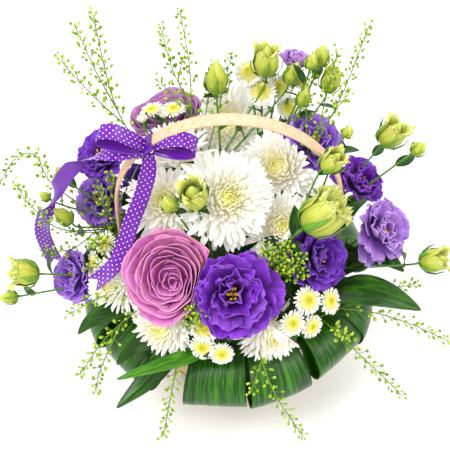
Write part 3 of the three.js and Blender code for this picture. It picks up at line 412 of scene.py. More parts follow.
# Planed beech: a pale pinkish brown with close grain, and a soft gloss from the planing.
beech, tree, shader = new_material("beech_bent_planed", Roughness=0.5, Specular_IOR_Level=0.4)
surface = add(tree, "UVMap", uv_map="surface")
grain = streaks(tree, surface.outputs[0], 14.0, 3.0, Scale=2.0, Detail=8.0, Roughness=0.6)
# Beech has short dark flecks, 1 to 2 mm long, all over its face.
fleck_map = add(tree, "Mapping", {"Vector": surface.outputs[0], "Scale": (26.0, 16.0, 1.0)})
flecks = add(tree, "TexVoronoi", {"Vector": fleck_map.outputs[0], "Scale": 4.0, "Randomness": 1.0})
wood_tones = [(0.28, "#c39670"), (0.48, "#dcb592"), (0.7, "#eaccae")]
wood_tone = add(tree, "ValToRGB", {"Fac": grain[0]}, ramp=wood_tones)
fleck_tones = [(0.05, "#b98a5e"), (0.2, "#ffffff")]
fleck_tone = add(tree, "ValToRGB", {"Fac": flecks.outputs["Distance"]}, ramp=fleck_tones)
both = add(tree, "Mix", {0: 0.45, 6: wood_tone.outputs[0], 7: fleck_tone.outputs[0]}, **TINT)
coloured(tree, shader, both.outputs[2], grain[0], 0.25, 0.5)

# The middle line: each leg goes up inside the wall to the shoulder, and an arch joins the two.
LEG_INSET = 6.1  # from the wall's outside to the middle of a leg
leg = [[wall_radius(h) - LEG_INSET, 0.0, h] for h in (30.0, 67.0, 104.0)]
leg += [[HOOP_REACH - 1.5, 0.0, 150.0], [HOOP_REACH, 0.0, HOOP_SHOULDER]]
arch = [hoop_spot(HOOP_REACH * math.cos(a)) for a in np.linspace(0, math.pi, 22)[1:-1]]
line, hoop_length = even(leg + arch + [[-x, y, z] for x, y, z in reversed(leg)], 150)
out = unit(np.cross(unit(np.gradient(line, axis=0)), [0.0, 1.0, 0.0]))
half_width, half_thick = HOOP_WIDTH / 2, HOOP_THICK / 2
edge = [(half_width, 0.6), (half_width - 0.5, half_thick - 0.1), (3, half_thick)]  # broken by hand
top = edge + [(-y, t) for y, t in reversed(edge)]
section = np.array([(-y, -t) for y, t in top] + top)
ring = section[:, :1] * np.array([0.0, 1.0, 0.0]) + section[:, 1:] * out[:, None]
grain_uv = uv_grid(len(section), len(line), tall=hoop_length / 40)
hoop = skinned((line[:, None] + ring)[None], uv=grain_uv)
handle = make("bent_hoop", hoop, beech, "bent_wood", ["hoop_handle"])

# ---- Liner ----------------------------------------------------------------------------------------
# A square of thin milky plastic film pressed into the basket so that water stays in. It lies in soft
# vertical folds against the wall, and its cut edge stands a little above the rim, crinkled.
FILM = 0.25
# Milky polythene: half clear and a little glossy, with soft dents.
milky_film, tree, shader = new_material("polythene_film_milky", Roughness=0.28, Alpha=0.62, IOR=1.5)
noise = add(tree, "TexNoise", {"Scale": 55.0, "Detail": 4.0})
tone = add(tree, "ValToRGB", {"Fac": noise.outputs[0]}, ramp=[(0.3, "#c9cfd0"), (0.7, "#eef1f1")])
coloured(tree, shader, tone.outputs[0], noise.outputs[0], 0.5, 2.0)

turn = np.linspace(0, 2 * np.pi, 241)
profile = [(2, 4.6), (30, 4.6), (60, 4.6), (66.5, 6.5)]
profile += [(wall_radius(h) - 9.2, h) for h in np.linspace(14, 98, 9)] + [(103.0, 104.0), (105.0, 108.5)]
folds = np.sin(31 * turn) + 0.6 * np.sin(17 * turn + 1.1) + 0.4 * np.sin(53 * turn + 2)
spots = []
for k, (radius, height) in enumerate(profile):
    depth = 0.9 * max(0, (k - 2) / len(profile)) ** 1.3
    crinkle = 1.2 * np.sin(61 * turn) if k >= len(profile) - 2 else 0 * turn
    if k == len(profile) - 1:
        crinkle = crinkle + 1.6 * np.sin(23 * turn + 0.5)
    spots.append(ringed(radius + depth * folds, turn, height + crinkle))
spots = np.array(spots)
film = sheets(spots[None], FILM, own=0.5, rim=1.0)
liner = make("liner_film", film, milky_film, "liner_film", ["basket_liner"])

# ---- Flower foam ----------------------------------------------------------------------------------
# A block of green phenolic foam, soaked and cut round to fit, with its top edges pared off. Its cells
# are a fraction of a millimetre and it crumbles where the stems go in.

# Wet foam: dull dark green in soft clouds, pitted where cells have broken out, 1 to 2 mm across.
wet_foam, tree, shader = new_material("phenolic_foam_wet", Roughness=0.95, Specular_IOR_Level=0.2)
place_in = add(tree, "TexCoord")
cells = add(tree, "TexVoronoi", {"Vector": place_in.outputs["Object"], "Scale": 620.0})
clouds = add(tree, "TexNoise", {"Vector": place_in.outputs["Object"], "Scale": 30.0, "Detail": 5.0})
tone = add(tree, "ValToRGB", {"Fac": clouds.outputs[0]}, ramp=[(0.3, "#143a1e"), (0.7, "#2a5c34")])
cell_tones = [(0.0, "#6a7a6a"), (0.5, "#ffffff")]
cell_tone = add(tree, "ValToRGB", {"Fac": cells.outputs["Distance"]}, ramp=cell_tones)
both = add(tree, "Mix", {0: 0.8, 6: tone.outputs[0], 7: cell_tone.outputs[0]}, **TINT)
coloured(tree, shader, both.outputs[2], cells.outputs["Distance"], 0.8, 1.2)

foam_profile = [(0.5, 5.6), (58, 5.6), (60, 7), (68, 55), (77.2, 99), (78, 101), (76.4, 117), (75, 119.5)]
foam_profile += [(60, 128.5), (44, 138.5), (41, 140), (20, 140.8), (0.5, 141)]


def ragged(angle, k):
    """How far the knife wandered, at each height k of the outline."""
    return 0.35 * np.sin(19 * angle + k) + 0.3 * np.sin(31 * angle + 2 * k)


make("foam_block", turned(foam_profile, 96, ragged), wet_foam, "wet_foam", ["floral_foam"])

# ---- Folded leaves round the rim ------------------------------------------------------------------
# Eleven broad aspidistra leaves, each bent into a loop over the rim with both ends pushed into the
# foam. The leaf is leathery, deep green and glossy, with fine raised ribs all along it.
LOOPS = [
    (265, 62, 5), (291, 64, 4), (318, 58, -2), (227, 66, 0), (199, 58, 2), (158, 70, 3),
    (124, 78, 2), (89, 78, 4), (54, 78, 1), (20, 60, 3), (341, 56, 0),
]  # turn round the basket in degrees, breadth, and how far the loop hangs
LOOP_LINE = [
    (70, 118), (88, 124), (126, 124), (149, 107), (148, 88), (133, 84), (117, 108), (106, 111), (78.4, 109.5),
]  # from the foam out over the rim and back


def own_surface(tree):
    """A sheet's UVs, its own number, and the UVs moved by it so that no two sheets look alike."""
    surface = add(tree, "UVMap", uv_map="surface")
    own = add(tree, "Attribute", attribute_name="own")
    shifted = add(tree, "VectorMath", {0: surface.outputs[0], 1: own.outputs["Vector"]}, operation="ADD")
    return surface.outputs[0], own.outputs["Fac"], shifted.outputs[0]


def leaf_material(name, dark, middle, light, ribs, relief_mm, gloss):
    """A leaf's skin: ribs along it, long patches of lighter green, and a paler dull back."""
    material, tree, shader = new_material(
        name, Roughness=gloss, Specular_IOR_Level=0.32, Coat_Weight=0.08, Coat_Roughness=0.2
    )
    _, _, shifted = own_surface(tree)
    back = add(tree, "Attribute", attribute_name="back")
    rib = streaks(tree, shifted, ribs, 1.5, Scale=1.0, Detail=3.0, Roughness=0.7)
    patch = streaks(tree, shifted, 2.4, 0.9, Scale=1.6, Detail=2.0)
    mixed = add(tree, "Mix", {0: 0.3, 6: rib["Color"], 7: patch["Color"]}, **BLEND)
    face_tones = [(0.38, dark), (0.5, middle), (0.62, light)]
    face_tone = add(tree, "ValToRGB", {"Fac": mixed.outputs[2]}, ramp=face_tones)
    back_tone = add(tree, "ValToRGB", {"Fac": rib[0]}, ramp=[(0.35, middle), (0.75, light)])
    sides = {0: back.outputs["Fac"], 6: face_tone.outputs[0], 7: back_tone.outputs[0]}
    both = add(tree, "Mix", sides, **BLEND)
    coloured(tree, shader, both.outputs[2], rib[0], 0.55, relief_mm)
    return material


# Glossy deep green aspidistra: ribs about 1.5 mm apart that catch the light as fine lines.
aspidistra = leaf_material("aspidistra_leaf_glossy", "#082202", "#1b4c03", "#44880a", 34.0, 0.7, 0.3)


def heading(turn, rise=0.0):
    """A direction: turn is the angle round +Z from +X and rise the angle above the level, in degrees."""
    turn, rise = math.radians(turn), math.radians(rise)
    return np.array([math.cos(rise) * math.cos(turn), math.cos(rise) * math.sin(turn), math.sin(rise)])


for number, (turn, breadth, drop) in enumerate(LOOPS, 1):
    lean = rng.uniform(-0.10, 0.10)
    swell = rng.uniform(-1.5, 2.5)
    line, length = even([[radius, 0.0, height] for radius, height in LOOP_LINE], 44)
    u = np.linspace(-1, 1, 15)[None, :]
    radius, height = line[:, :1], line[:, 2:]
    hang = np.maximum(0, (radius - 112) / 40)
    height = height - drop * hang * np.where(height < 110, 1, 0.4)
    s = np.linspace(0, 1, 44)[:, None]
    half = breadth * 1.06 * radius / 150 / 2
    half = half * (1 + 0.05 * np.sin(2.3 * s * np.pi + turn))
    bow = (1 - u**2) * (1.6 + swell * hang)
    wave = 0.8 * np.sin(9 * s + 2.5 * u + turn) * hang * u**2
    radius = radius + bow * hang + wave + lean * u * half * hang
    crest = 2.6 * (1 - u**2) * np.clip((height - 100) / 25, 0, 1)
    height = height + crest * hang + 0.7 * lean * u * half * hang
    out, side = heading(turn), heading(turn + 90)
    skew = lean * 26 * np.sin(np.pi * s) + 0 * u
    spots = out * (radius + 0 * u)[..., None] - side * (u * half + skew)[..., None]
    spots[..., 2] += height + 0 * u
    uv = uv_grid(15, 44, breadth / 50, length / 50)
    leaf = sheets(spots[None], 0.7, own=rng.random(1) * 7, uv=uv, rim=0.7)
    make(f"aspidistra_loop_{number}", leaf, aspidistra, "leaf_deep_green", [f"folded_leaf_{number}"])

# ---- Stems in the foam ----------------------------------------------------------------------------
# Every stem is cut slantwise and pushed into the foam. Places are seen from the middle of the foam, near
# the rim's height: turn round the basket, rise above the level, and distance. Each head is listed with
# its place, the way it faces (turn, rise) and its sizes. Stalks are round, hairless and dull green.
HEART = np.array([0.0, 0.0, 100.0])

ARRANGEMENT = {
    "white_chrysanthemum_front": [("mum", (263, 80, 158), (290, 52), 45, 98)],
    "white_chrysanthemum_under_hoop": [("mum", (90, 48, 158), (264, 62), 48, 92)],
    "white_chrysanthemum_right": [("mum", (31, 67, 147), (235, 60), 41, 98)],
    "white_chrysanthemum_left": [("mum", (188, 64, 142), (265, 64), 38, 98)],
    "white_chrysanthemum_behind_bow": [("mum", (140, 62, 156), (150, 78), 38, 62)],
    "white_chrysanthemum_low_left": [("mum", (208, 27, 142), (216, 34), 32, 108)],
    "white_chrysanthemum_under_rose": [("mum", (239, 25, 130), (239, 20), 37, 98)],
    "white_chrysanthemum_low_right": [("mum", (291, 25, 126), (291, 18), 34, 98)],
    "white_chrysanthemum_middle": [("mum", (330, 64, 128), (295, 56), 38, 98)],
    "white_chrysanthemum_back": [("mum", (93, 20, 138), (92, 26), 42, 98)],
    "pink_rose": [("rose", (235, 47, 157), (244, 47), 42)],
    "mauve_rose_back": [("rose", (121, 46, 188), (150, 74), 36)],
    "lisianthus_front": [("lisianthus", (272, 46, 157), (270, 46), 44)],
    "lisianthus_right_front": [("lisianthus", (325, 45, 153), (314, 40), 35)],
    "lisianthus_upper_left": [("lisianthus", (156, 42, 193), (200, 60), 31)],
    "lisianthus_left": [
        ("lisianthus", (167, 33, 165), (222, 50), 30),
        ("bud", (182, 33, 196), (188, 55), 8, 26, 0),
        ("bud", (173, 29, 213), (178, 40), 5, 13, 0),
        ("bud", (175, 42, 221), (176, 62), 5.5, 15, 0),
    ],
    "lisianthus_far_left": [
        ("lisianthus", (194, 18, 172), (222, 34), 29),
        ("bud", (195, 20, 222), (190, 16), 14, 30, 0.7),
        ("bud", (197, 13, 234), (196, 6), 6.5, 19, 0),
    ],
    "lisianthus_upper_right": [("lisianthus", (36, 53, 180), (325, 60), 35)],
    "lisianthus_right": [
        ("lisianthus", (12, 42, 184), (350, 56), 31),
        ("bud", (17, 45, 236), (12, 58), 14, 32, 0.7),
        ("bud", (6, 44, 254), (8, 44), 7, 17, 0),
        ("bud", (5, 62, 237), (10, 66), 5.5, 13, 0),
    ],
    "lisianthus_far_right": [
        ("lisianthus", (355, 31, 184), (335, 44), 35),
        ("bud", (345, 25, 227), (350, 28), 12.5, 29, 0.7),
    ],
    "lisianthus_top": [
        ("lisianthus", (61, 55, 240), (70, 72), 21),
        ("bud", (48, 59, 260), (50, 72), 8.5, 22, 0),
        ("bud", (47, 63, 256), (44, 74), 6.5, 17, 0),
        ("bud", (42, 56, 240), (44, 66), 10.5, 27, 0.6),
        ("bud", (47, 60, 216), (44, 70), 7.5, 22, 0),
    ],
    "lisianthus_back": [("lisianthus", (132, 20, 152), (132, 30), 33)],
    "bud_stem_top": [
        ("bud", (98, 67, 224), (96, 84), 11.5, 38, 0),
        ("bud", (71, 62, 238), (80, 76), 14, 34, 0.5),
        ("bud", (57, 60, 232), (36, 62), 9, 24, 0),
    ],
    "bud_stem_front_right": [
        ("opening", (330, 58, 190), (18, 38), 23),
        ("bud", (349, 64, 222), (350, 60), 11, 27, 0.5),
    ],
    "bud_stem_front_left": [
        ("bud", (238, 72, 200), (232, 76), 14, 31, 0.4),
        ("bud", (222, 67, 192), (206, 68), 8, 20, 0),
    ],
    "daisies_top": [
        ("daisy", (80, 59, 220), (265, 60), 14),
        ("daisy", (72, 59, 203), (262, 60), 15),
        ("daisy", (65, 55, 208), (285, 62), 13.5),
        ("daisy", (59, 52, 190), (286, 62), 12.5),
        ("daisy", (57, 52, 219), (340, 50), 11),
    ],
    "daisies_upper_left": [
        ("daisy", (130, 52, 196), (140, 70), 12),
        ("daisy", (123, 58, 192), (118, 78), 12),
        ("daisy", (141, 56, 197), (140, 70), 6.5),
        ("daisy", (128, 56, 188), (134, 72), 6),
    ],
    "daisies_left": [("daisy", (189, 33, 148), (206, 44), 12), ("daisy", (193, 25, 153), (200, 20), 11)],
    "daisies_front": [
        ("daisy", (259, 32, 144), (250, 42), 14),
        ("daisy", (259, 24, 145), (254, 26), 12.5),
        ("daisy", (267, 22, 145), (272, 22), 11.5),
    ],
    "daisies_right": [
        ("daisy", (309, 35, 146), (306, 42), 14),
        ("daisy", (318, 30, 151), (326, 34), 13),
        ("daisy", (299, 29, 143), (296, 32), 12.5),
        ("daisy", (307, 24, 145), (312, 22), 12),
    ],
    "daisies_back": [
        ("daisy", (60, 22, 146), (58, 30), 14),
        ("daisy", (68, 30, 150), (66, 40), 13),
        ("daisy", (52, 30, 152), (50, 38), 13),
    ],
}
NECK = 12  # the end of a stalk that runs straight into its head
STEM_RADIUS = {"pink_rose": 2.4, "mauve_rose_back": 2.2, "bud_stem_front_right": 1.7}
BENDS = {
    "lisianthus_far_right": np.array([84.0, -20.0, 140.0]),
    "bud_stem_front_left": np.array([-14.0, -52.0, 190.0]),
    "daisies_back": HEART + 96 * heading(73, 24),
}  # spots that a stem passes, clear of what is near


def place(at):
    """The spot at a turn, a rise and a distance."""
    return HEART + at[2] * heading(at[0], at[1])


def cut_end(spot):
    """Where a stem that goes out through spot ends in the foam: the steeper it is, the deeper."""
    away = spot - HEART
    rise = math.degrees(math.asin(away[2] / np.linalg.norm(away)))
    steep = min(max((rise - 30) / 30, 0), 1)
    aim = np.array([0, 0, 102 - 62 * steep])
    return aim + unit(spot - aim) * (42 + 24 * steep)


def turn_to(facing):
    """The turn that lays +Z along facing."""
    return np.array(Vector((0, 0, 1)).rotation_difference(Vector(facing)).to_matrix())


heads = {}  # for each node of flowers, its heads with their places worked out
stalk_lines = {}
for node, items in ARRANGEMENT.items():
    heads[node] = []
    for kind, at, facing, *sizes in items:
        # How far the root of a head lies below its place, and how much room the head takes round it.
        if kind == "bud":
            sunk, cell = sizes[1] / 2, 0.55 * sizes[1]
        elif kind == "opening":
            sunk, cell = 22, 25
        else:
            sunk, cell = {"mum": (0.3, 1), "daisy": (0.2, 1)}.get(kind, (0.62, 0.98))
            sunk, cell = sunk * sizes[0], cell * sizes[0]
        facing = heading(*facing)
        spot = place(at)
        heads[node].append({
            "kind": kind, "at": spot, "facing": facing, "base": spot - facing * sunk, "cell": cell,
            "sizes": sizes, "turn": turn_to(facing),
        })
    first = heads[node][0]
    alike = [head["at"] for head in heads[node] if head["kind"] == first["kind"] == "daisy"]
    middle = np.mean(alike or [first["at"]], axis=0)
    foot = cut_end(BENDS.get(node, middle))
    alone = first["kind"] in ("daisy", "bud")
    hub = BENDS.get(node, foot + 0.62 * ((middle if alone else first["base"]) - foot))
    lines = []
    for i, head in enumerate(heads[node]):
        neck = head["base"] - NECK * head["facing"]
        fork = hub + 0.06 * i * (foot - hub)
        if i == 0 and not alone:
            lines.append([foot, hub, neck, head["base"]])
        else:
            sagging = (fork + neck) / 2 - [0, 0, 0.03 * (neck - fork)[2]]
            lines.append([fork, sagging, neck, head["base"]])
    if alone:
        lines.append([foot, foot + 0.5 * (hub - foot), 0.25 * foot + 0.75 * hub, hub])
    stalk_lines[node] = lines


def ribbed_skin(name, across, along, tones, scale, detail, relief=0.4, **values):
    """The skin of a green stalk or bract: fine lines run along it, and tones colour them."""
    material, tree, shader = new_material(name, **values)
    surface = add(tree, "UVMap", uv_map="surface")
    lines = streaks(tree, surface.outputs[0], across, along, Scale=scale, Detail=detail)
    tone = add(tree, "ValToRGB", {"Fac": lines[0]}, ramp=tones)
    coloured(tree, shader, tone.outputs[0], lines[0] if relief else None, relief, 0.4)
    return material


# Fresh stem: dull green with fine lengthwise lines, lighter where they stand out.
stem_tones = [(0.3, "#356012"), (0.55, "#548a1e"), (0.8, "#82ac44")]
stem_skin = ribbed_skin("green_stem_waxy", 10.0, 2.0, stem_tones, 2.0, 3.0, Roughness=0.45)

STALK, SIDE_STALK = 1.5, 1.1  # radii of a stalk and of one that branches off it
stem_bodies = {}
for node, lines in stalk_lines.items():
    thick = STEM_RADIUS.get(node, STALK)
    bodies = []
    for i, line in enumerate(lines):
        path, _ = even(line, 22)
        main = (i == 0 and heads[node][0]["kind"] not in ("daisy", "bud")) or i == len(heads[node])
        radius = thick if main else SIDE_STALK
        t = np.linspace(0, 1, 22)
        collar = (0.48 if main else 0.4) * np.clip((t - 0.93) / 0.07, 0, 1)  # where the head begins
        radii = radius * (1.05 - 0.2 * t) + collar
        bodies.append(tubes(path[None], radii[None, :], sides=8))
    stem_bodies[node] = together(bodies)

# ---- Chrysanthemums -------------------------------------------------------------------------------
# Ten white double chrysanthemums. Strap petals stand all round a small closed heart: the outer ones long
# and spread or hanging, the next ones standing, the inner ones short and bent in. They are thin and
# milky, cream towards the heart, which is still yellow-green.
OVERLAP = 1.2  # how far two heads that touch may press into one another
LIFTS = (8, 16, 24, 33, 42, 52, 62)  # degrees, tried in turn on a petal that has no room


def heads_of(*kinds):
    """The heads of these kinds, each with its node."""
    return [(node, head) for node, placed in heads.items() for head in placed if head["kind"] in kinds]


def keep(bodies, node, head, body):
    """Moves a body made round +Z to its head's place and puts it with the others of its node."""
    bodies.setdefault(node, []).append(moved(body, head["turn"], head["base"]))


def room_limits(head):
    """Planes between a head and its neighbours, as (direction, room) from the head's place. The strap
    petals of a chrysanthemum give way to firmer flowers, and heads that are alike share the room."""
    limits = []
    for rival in (rival for placed in heads.values() for rival in placed):
        apart = rival["at"] - head["at"]
        distance = np.linalg.norm(apart)
        a, b = head["cell"], rival["cell"]
        if rival is head or distance > a + b:
            continue
        if head["kind"] == rival["kind"] or "mum" not in (head["kind"], rival["kind"]):
            crossing = (distance**2 + a**2 - b**2) / (2 * distance)
            low, high = 0.45 * a, distance - 0.45 * b
            share = min(max(crossing, low), high) if low < high else distance * a / (a + b)
        elif head["kind"] == "mum":
            share = distance - min(b, distance - 0.4 * a)
        else:
            share = min(a, distance - 0.4 * b)
        limits.append((apart / distance, share + OVERLAP))
    return limits


def crowded(petals, head, count):
    """Petals that would reach into a neighbour are bent up towards the axis, or else stay smaller.
    petals(lift) gives (petal, along, across, 3) round +Z with every petal lifted by so many degrees."""
    limits = room_limits(head)
    chosen = petals(np.zeros(count))
    if not limits:
        return chosen
    offset = head["base"] - head["at"]

    def worst(spots):
        world = spots @ head["turn"].T + offset
        over = np.full(len(spots), -1e9)
        for direction, room in limits:
            reach = (world @ direction).reshape(len(spots), -1)
            over = np.maximum(over, reach.max(axis=1) - room)
        return over

    best = worst(chosen)
    for lift in LIFTS:
        todo = best > 0
        if not todo.any():
            break
        spots = petals(np.full(count, float(lift)))
        over = worst(spots)
        better = todo & (over < best)
        chosen[better] = spots[better]
        best[better] = over[better]
    return pressed(chosen, head)


def pressed(spots, head, inset=0.0):
    """Petals that still reach into a neighbour lie flat against it, one ring behind another by inset."""
    offset = head["base"] - head["at"]
    world = spots @ head["turn"].T + offset
    for direction, room in room_limits(head):
        over = np.maximum(world @ direction - (room - inset), 0)
        world = world - 0.9 * over[..., None] * direction
    return (world - offset) @ head["turn"]


def petal_fan(azimuth, root, height, length, width, tilt, bend, cup, along=10, across=5, sway=0.0,
              narrow=0.42, fullest=0.62, tip=0.2, frill=0.0, folds=5.0, scallop=0.0, seed=0):
    """Petals round +Z, as (petal, along, across, 3). tilt is a petal's angle from +Z at its root and
    bend how much that changes by its tip, in degrees; cup is how far its edges rise, by half width."""
    n = len(azimuth)
    column = partial(each, n=n, axes=1)
    t = np.linspace(0, 1, along)
    s = (1 - (1 - t) ** 1.3)[None, :]
    angle = np.radians(column(tilt) + column(bend) * s**1.2)
    step = np.diff(s, axis=1, prepend=0) * column(length)
    r = column(root) + np.cumsum(np.sin(angle) * step, axis=1)
    z = column(height) + np.cumsum(np.cos(angle) * step, axis=1)
    swelling = narrow + (1 - narrow) * np.sin(np.pi / 2 * np.clip(s / fullest, 0, 1)) ** 1.3
    closing = np.sqrt(np.maximum(1 - (np.clip((s - fullest) / (1 - fullest), 0, 1) ** 2.2) * (1 - tip**2), 0))
    half = column(width) / 2 * swelling * closing
    u = np.linspace(-1, 1, across)[None, None, :]
    rise = column(cup)[..., None] * half[..., None] * u**2
    phase = np.random.default_rng(seed).random((n, 3)) * 6.28
    wave = np.sin(folds * u * 1.6 + phase[:, :1, None]) + 0.6 * np.sin(folds * u * 3.1 + phase[:, 1:2, None])
    rise = rise + column(frill)[..., None] * wave * (s**3)[..., None]
    dent = 0.12 * np.sin(folds * u * 4 + phase[:, 2:, None])
    back = column(scallop)[..., None] * (np.abs(u) ** 2.5 + dent) * (s**4)[..., None]
    ahead = -back * column(length)[..., None]
    sin, cos = np.sin(angle)[..., None], np.cos(angle)[..., None]
    r = r[..., None] - cos * rise + sin * ahead
    z = z[..., None] + sin * rise + cos * ahead
    side = half[..., None] * u * (1 - 0.1 * np.abs(column(cup))[..., None])
    phi = column(azimuth)[..., None] + column(sway)[..., None] * (s**2)[..., None]
    x = r * np.cos(phi) + side * np.sin(phi)
    y = r * np.sin(phi) - side * np.cos(phi)
    return np.stack([x, y, z + 0 * x], axis=-1)


# Chrysanthemum petal: milky white with fine lengthwise veins, cream at the root, partly its own tone and
# partly painted warm shade where the roots lie deep in the head, and yellow-green where age is near 1, in the
# heart.
PAINTED_GLOW = 0.09  # painted glow: the petals give out light of their own, which lightens their shade


def veined_petal(tree, shader, colour, at, across, along, share, furrows, relief, through, **noise):
    """Fine veins along a petal: they darken its colour by a share, stand out a little, and some of the
    light goes through. relief is its strength and depth in millimetres."""
    veins = streaks(tree, at, across, along, Scale=1.0, **noise)
    vein_tone = add(tree, "ValToRGB", {"Fac": veins[0]}, ramp=furrows)
    both = add(tree, "Mix", {0: share, 6: colour, 7: vein_tone.outputs[0]}, **TINT)
    coloured(tree, shader, both.outputs[2], veins[0], *relief)
    let_light_through(tree, shader, both.outputs[2], through)
    return both.outputs[2]


def by_length(tree, surface, tones):
    """A petal's tone from its root to its tip, and how far along it a spot is."""
    split = add(tree, "SeparateXYZ", {0: surface})
    return add(tree, "ValToRGB", {"Fac": split.outputs[1]}, ramp=tones).outputs[0], split.outputs[1]


# Emission gives the petals a painted glow in their own colour.
mum_white, tree, shader = new_material(
    "chrysanthemum_petal_milky", Roughness=0.55, Specular_IOR_Level=0.35, Sheen_Weight=0.4,
    Sheen_Roughness=0.5, Emission_Strength=PAINTED_GLOW,
)
surface, _, shifted = own_surface(tree)
age = add(tree, "Attribute", attribute_name="age")
heart_tones = [(0.4, "#fffefa"), (0.62, "#fffcde"), (0.78, "#fbf79e"), (0.9, "#f0ec54"), (1.0, "#8fbe28")]
heart_tone = add(tree, "ValToRGB", {"Fac": age.outputs["Fac"]}, ramp=heart_tones)
# Cream towards the root: the petal's own tone and painted warm shade.
root_cream_and_painted_shade, _ = by_length(tree, surface, [(0.0, "#fcf9e2"), (0.25, "#fefcf2"), (0.6, "#ffffff")])
tinted = add(tree, "Mix", {0: 1.0, 6: heart_tone.outputs[0], 7: root_cream_and_painted_shade}, **TINT)
furrows = [(0.32, "#f4f1ea"), (0.6, "#ffffff")]
white = veined_petal(
    tree, shader, tinted.outputs[2], shifted, 9.0, 0.8, 0.8, furrows, (0.5, 0.4), 0.1, Detail=2.0
)
# The painted glow takes the petal's colour.
tree.links.new(white, shader.inputs["Emission Color"])

# The green under a head and on its stalk: sepals and bracts, softly ribbed and a little waxy.
calyx_tones = [(0.3, "#3f7014"), (0.55, "#649a24"), (0.75, "#93bc46")]
calyx_green = ribbed_skin(
    "calyx_green_waxy", 12.0, 1.5, calyx_tones, 1.5, 3.0, Roughness=0.5, Specular_IOR_Level=0.4
)

GOLDEN = math.radians(137.508)  # from one petal to the next where they grow in a spiral
MUM_PETALS = 290


def ring_of(count):
    """Angles evenly round a ring."""
    return np.arange(count) * 2 * np.pi / count


def scaled(outline, radius):
    """An outline written for a head of radius 1, for one of this radius."""
    return [(r * radius, z * radius) for r, z in outline]


def chrysanthemum(head):
    """A head's petals with the heart's floor, and the bracts under it."""
    radius, spread = head["sizes"]
    i = np.arange(MUM_PETALS)
    t = i / (MUM_PETALS - 1)  # 0 for the outermost petal and 1 for the innermost
    azimuth = i * GOLDEN + rng.normal(0, 0.05, MUM_PETALS)
    level = t**0.86
    tilt = spread * (1 - level) ** 1.02 + 3 + rng.normal(0, 4.0, MUM_PETALS) * (1 - t)
    length = radius * (0.95 - 0.1 * t - 0.6 * t**2.4) * rng.uniform(0.92, 1.06, MUM_PETALS)
    bend = -(14 + 34 * t) + rng.normal(0, 5, MUM_PETALS)
    # About half of the outermost petals hang loose.
    loose = (t < 0.12) & (rng.random(MUM_PETALS) < 0.55)
    bend = np.where(loose, rng.uniform(-6, 18, MUM_PETALS), bend)
    tilt = np.where(loose, tilt + rng.uniform(2, 16, MUM_PETALS), tilt)
    width = (0.155 - 0.07 * t**1.5) * radius * rng.uniform(0.85, 1.15, MUM_PETALS)
    root = radius * 0.2 * np.sqrt(np.maximum(1 - t, 0.001))
    height = radius * (0.02 + 0.2 * t)
    cup = 0.55 + 0.5 * t
    sway = rng.normal(0, 0.05, MUM_PETALS)

    def petals(lift):
        raised = np.maximum(tilt - lift, np.minimum(tilt, 2))
        return petal_fan(
            azimuth, root, height, length, width, raised, bend, cup, sway=sway, tip=0.12, fullest=0.58
        )

    bloom = sheets(crowded(petals, head, MUM_PETALS), 0.55, age=t**1.15, rim=0.5)
    outline = [(0.13, 0.01), (0.19, 0.06), (0.14, 0.22), (0.05, 0.27)]
    floor = turned([(0.3, 0), *scaled(outline, radius), (0.2, 0.28 * radius)], 16, age=0.97)
    bracts = petal_fan(
        ring_of(14), 1.5, -0.03 * radius, 0.3 * radius, 0.1 * radius, 96, -20, -0.3, along=6, across=3
    )
    return together([bloom, floor]), sheets(bracts, 0.6)


petal_bodies, green_bodies = {}, {}
for node, head in heads_of("mum"):
    petals, bracts = chrysanthemum(head)
    keep(petal_bodies, node, head, petals)
    keep(green_bodies, node, head, bracts)
for node, bodies in petal_bodies.items():
    make(f"{node}_petals", together(bodies), mum_white, "white_petals", [node])

# ---- Roses ----------------------------------------------------------------------------------------
# A lilac-pink garden rose in front and a darker mauve one behind. The outer petals are broad, with rims
# rolled out; inside them the petals stand upright and are folded round a heart a little to one side.


def petal_material(name, stops, back, dark_root, share, sheen=0.25, veins=14.0, blush=None, faded=None):
    """A soft petal: stops colour it from root to rim, back is its underside's tone, veins run along it,
    blush is a tone in patches on the outer ones, and faded one that some of the petals lean to."""
    material, tree, shader = new_material(
        name, Roughness=0.6, Specular_IOR_Level=0.3, Sheen_Weight=sheen, Sheen_Roughness=0.4
    )
    surface, own, shifted = own_surface(tree)
    under = add(tree, "Attribute", attribute_name="back")
    face_tone, length = by_length(tree, surface, stops)
    side = add(tree, "Mix", {0: under.outputs["Fac"], 6: face_tone, 7: back}, **BLEND)
    vein = streaks(tree, shifted, veins, 1.2, Scale=1.0, Detail=3.0, Roughness=0.6)
    vein_tone = add(tree, "ValToRGB", {"Fac": vein[0]}, ramp=[(0.3, dark_root), (0.62, "#ffffff")])
    both = add(tree, "Mix", {0: 0.45, 6: side.outputs[2], 7: vein_tone.outputs[0]}, **TINT)
    colour = both.outputs[2]
    if faded:
        some = add(tree, "ValToRGB", {"Fac": own}, ramp=[(0.45, 0.0), (1.0, 0.55)])
        tips = add(tree, "Math", {0: length, 1: some.outputs[0]}, operation="MULTIPLY")
        colour = add(tree, "Mix", {0: tips.outputs[0], 6: colour, 7: faded}, **BLEND).outputs[2]
    if blush:
        # A warm blush in soft patches on some of the outer petals.
        patches = streaks(tree, shifted, 1.3, 1.6, Scale=1.3, Detail=2.0)
        where = add(tree, "ValToRGB", {"Fac": patches[0]}, ramp=[(0.48, 0.0), (0.66, 0.8)])
        age = add(tree, "Attribute", attribute_name="age")
        outer = add(tree, "Math", {0: where.outputs[0], 1: age.outputs["Fac"]}, operation="MULTIPLY")
        colour = add(tree, "Mix", {0: outer.outputs[0], 6: colour, 7: blush}, **BLEND).outputs[2]
    coloured(tree, shader, colour, vein[0], 0.5, 0.6)
    let_light_through(tree, shader, colour, share)
    return material
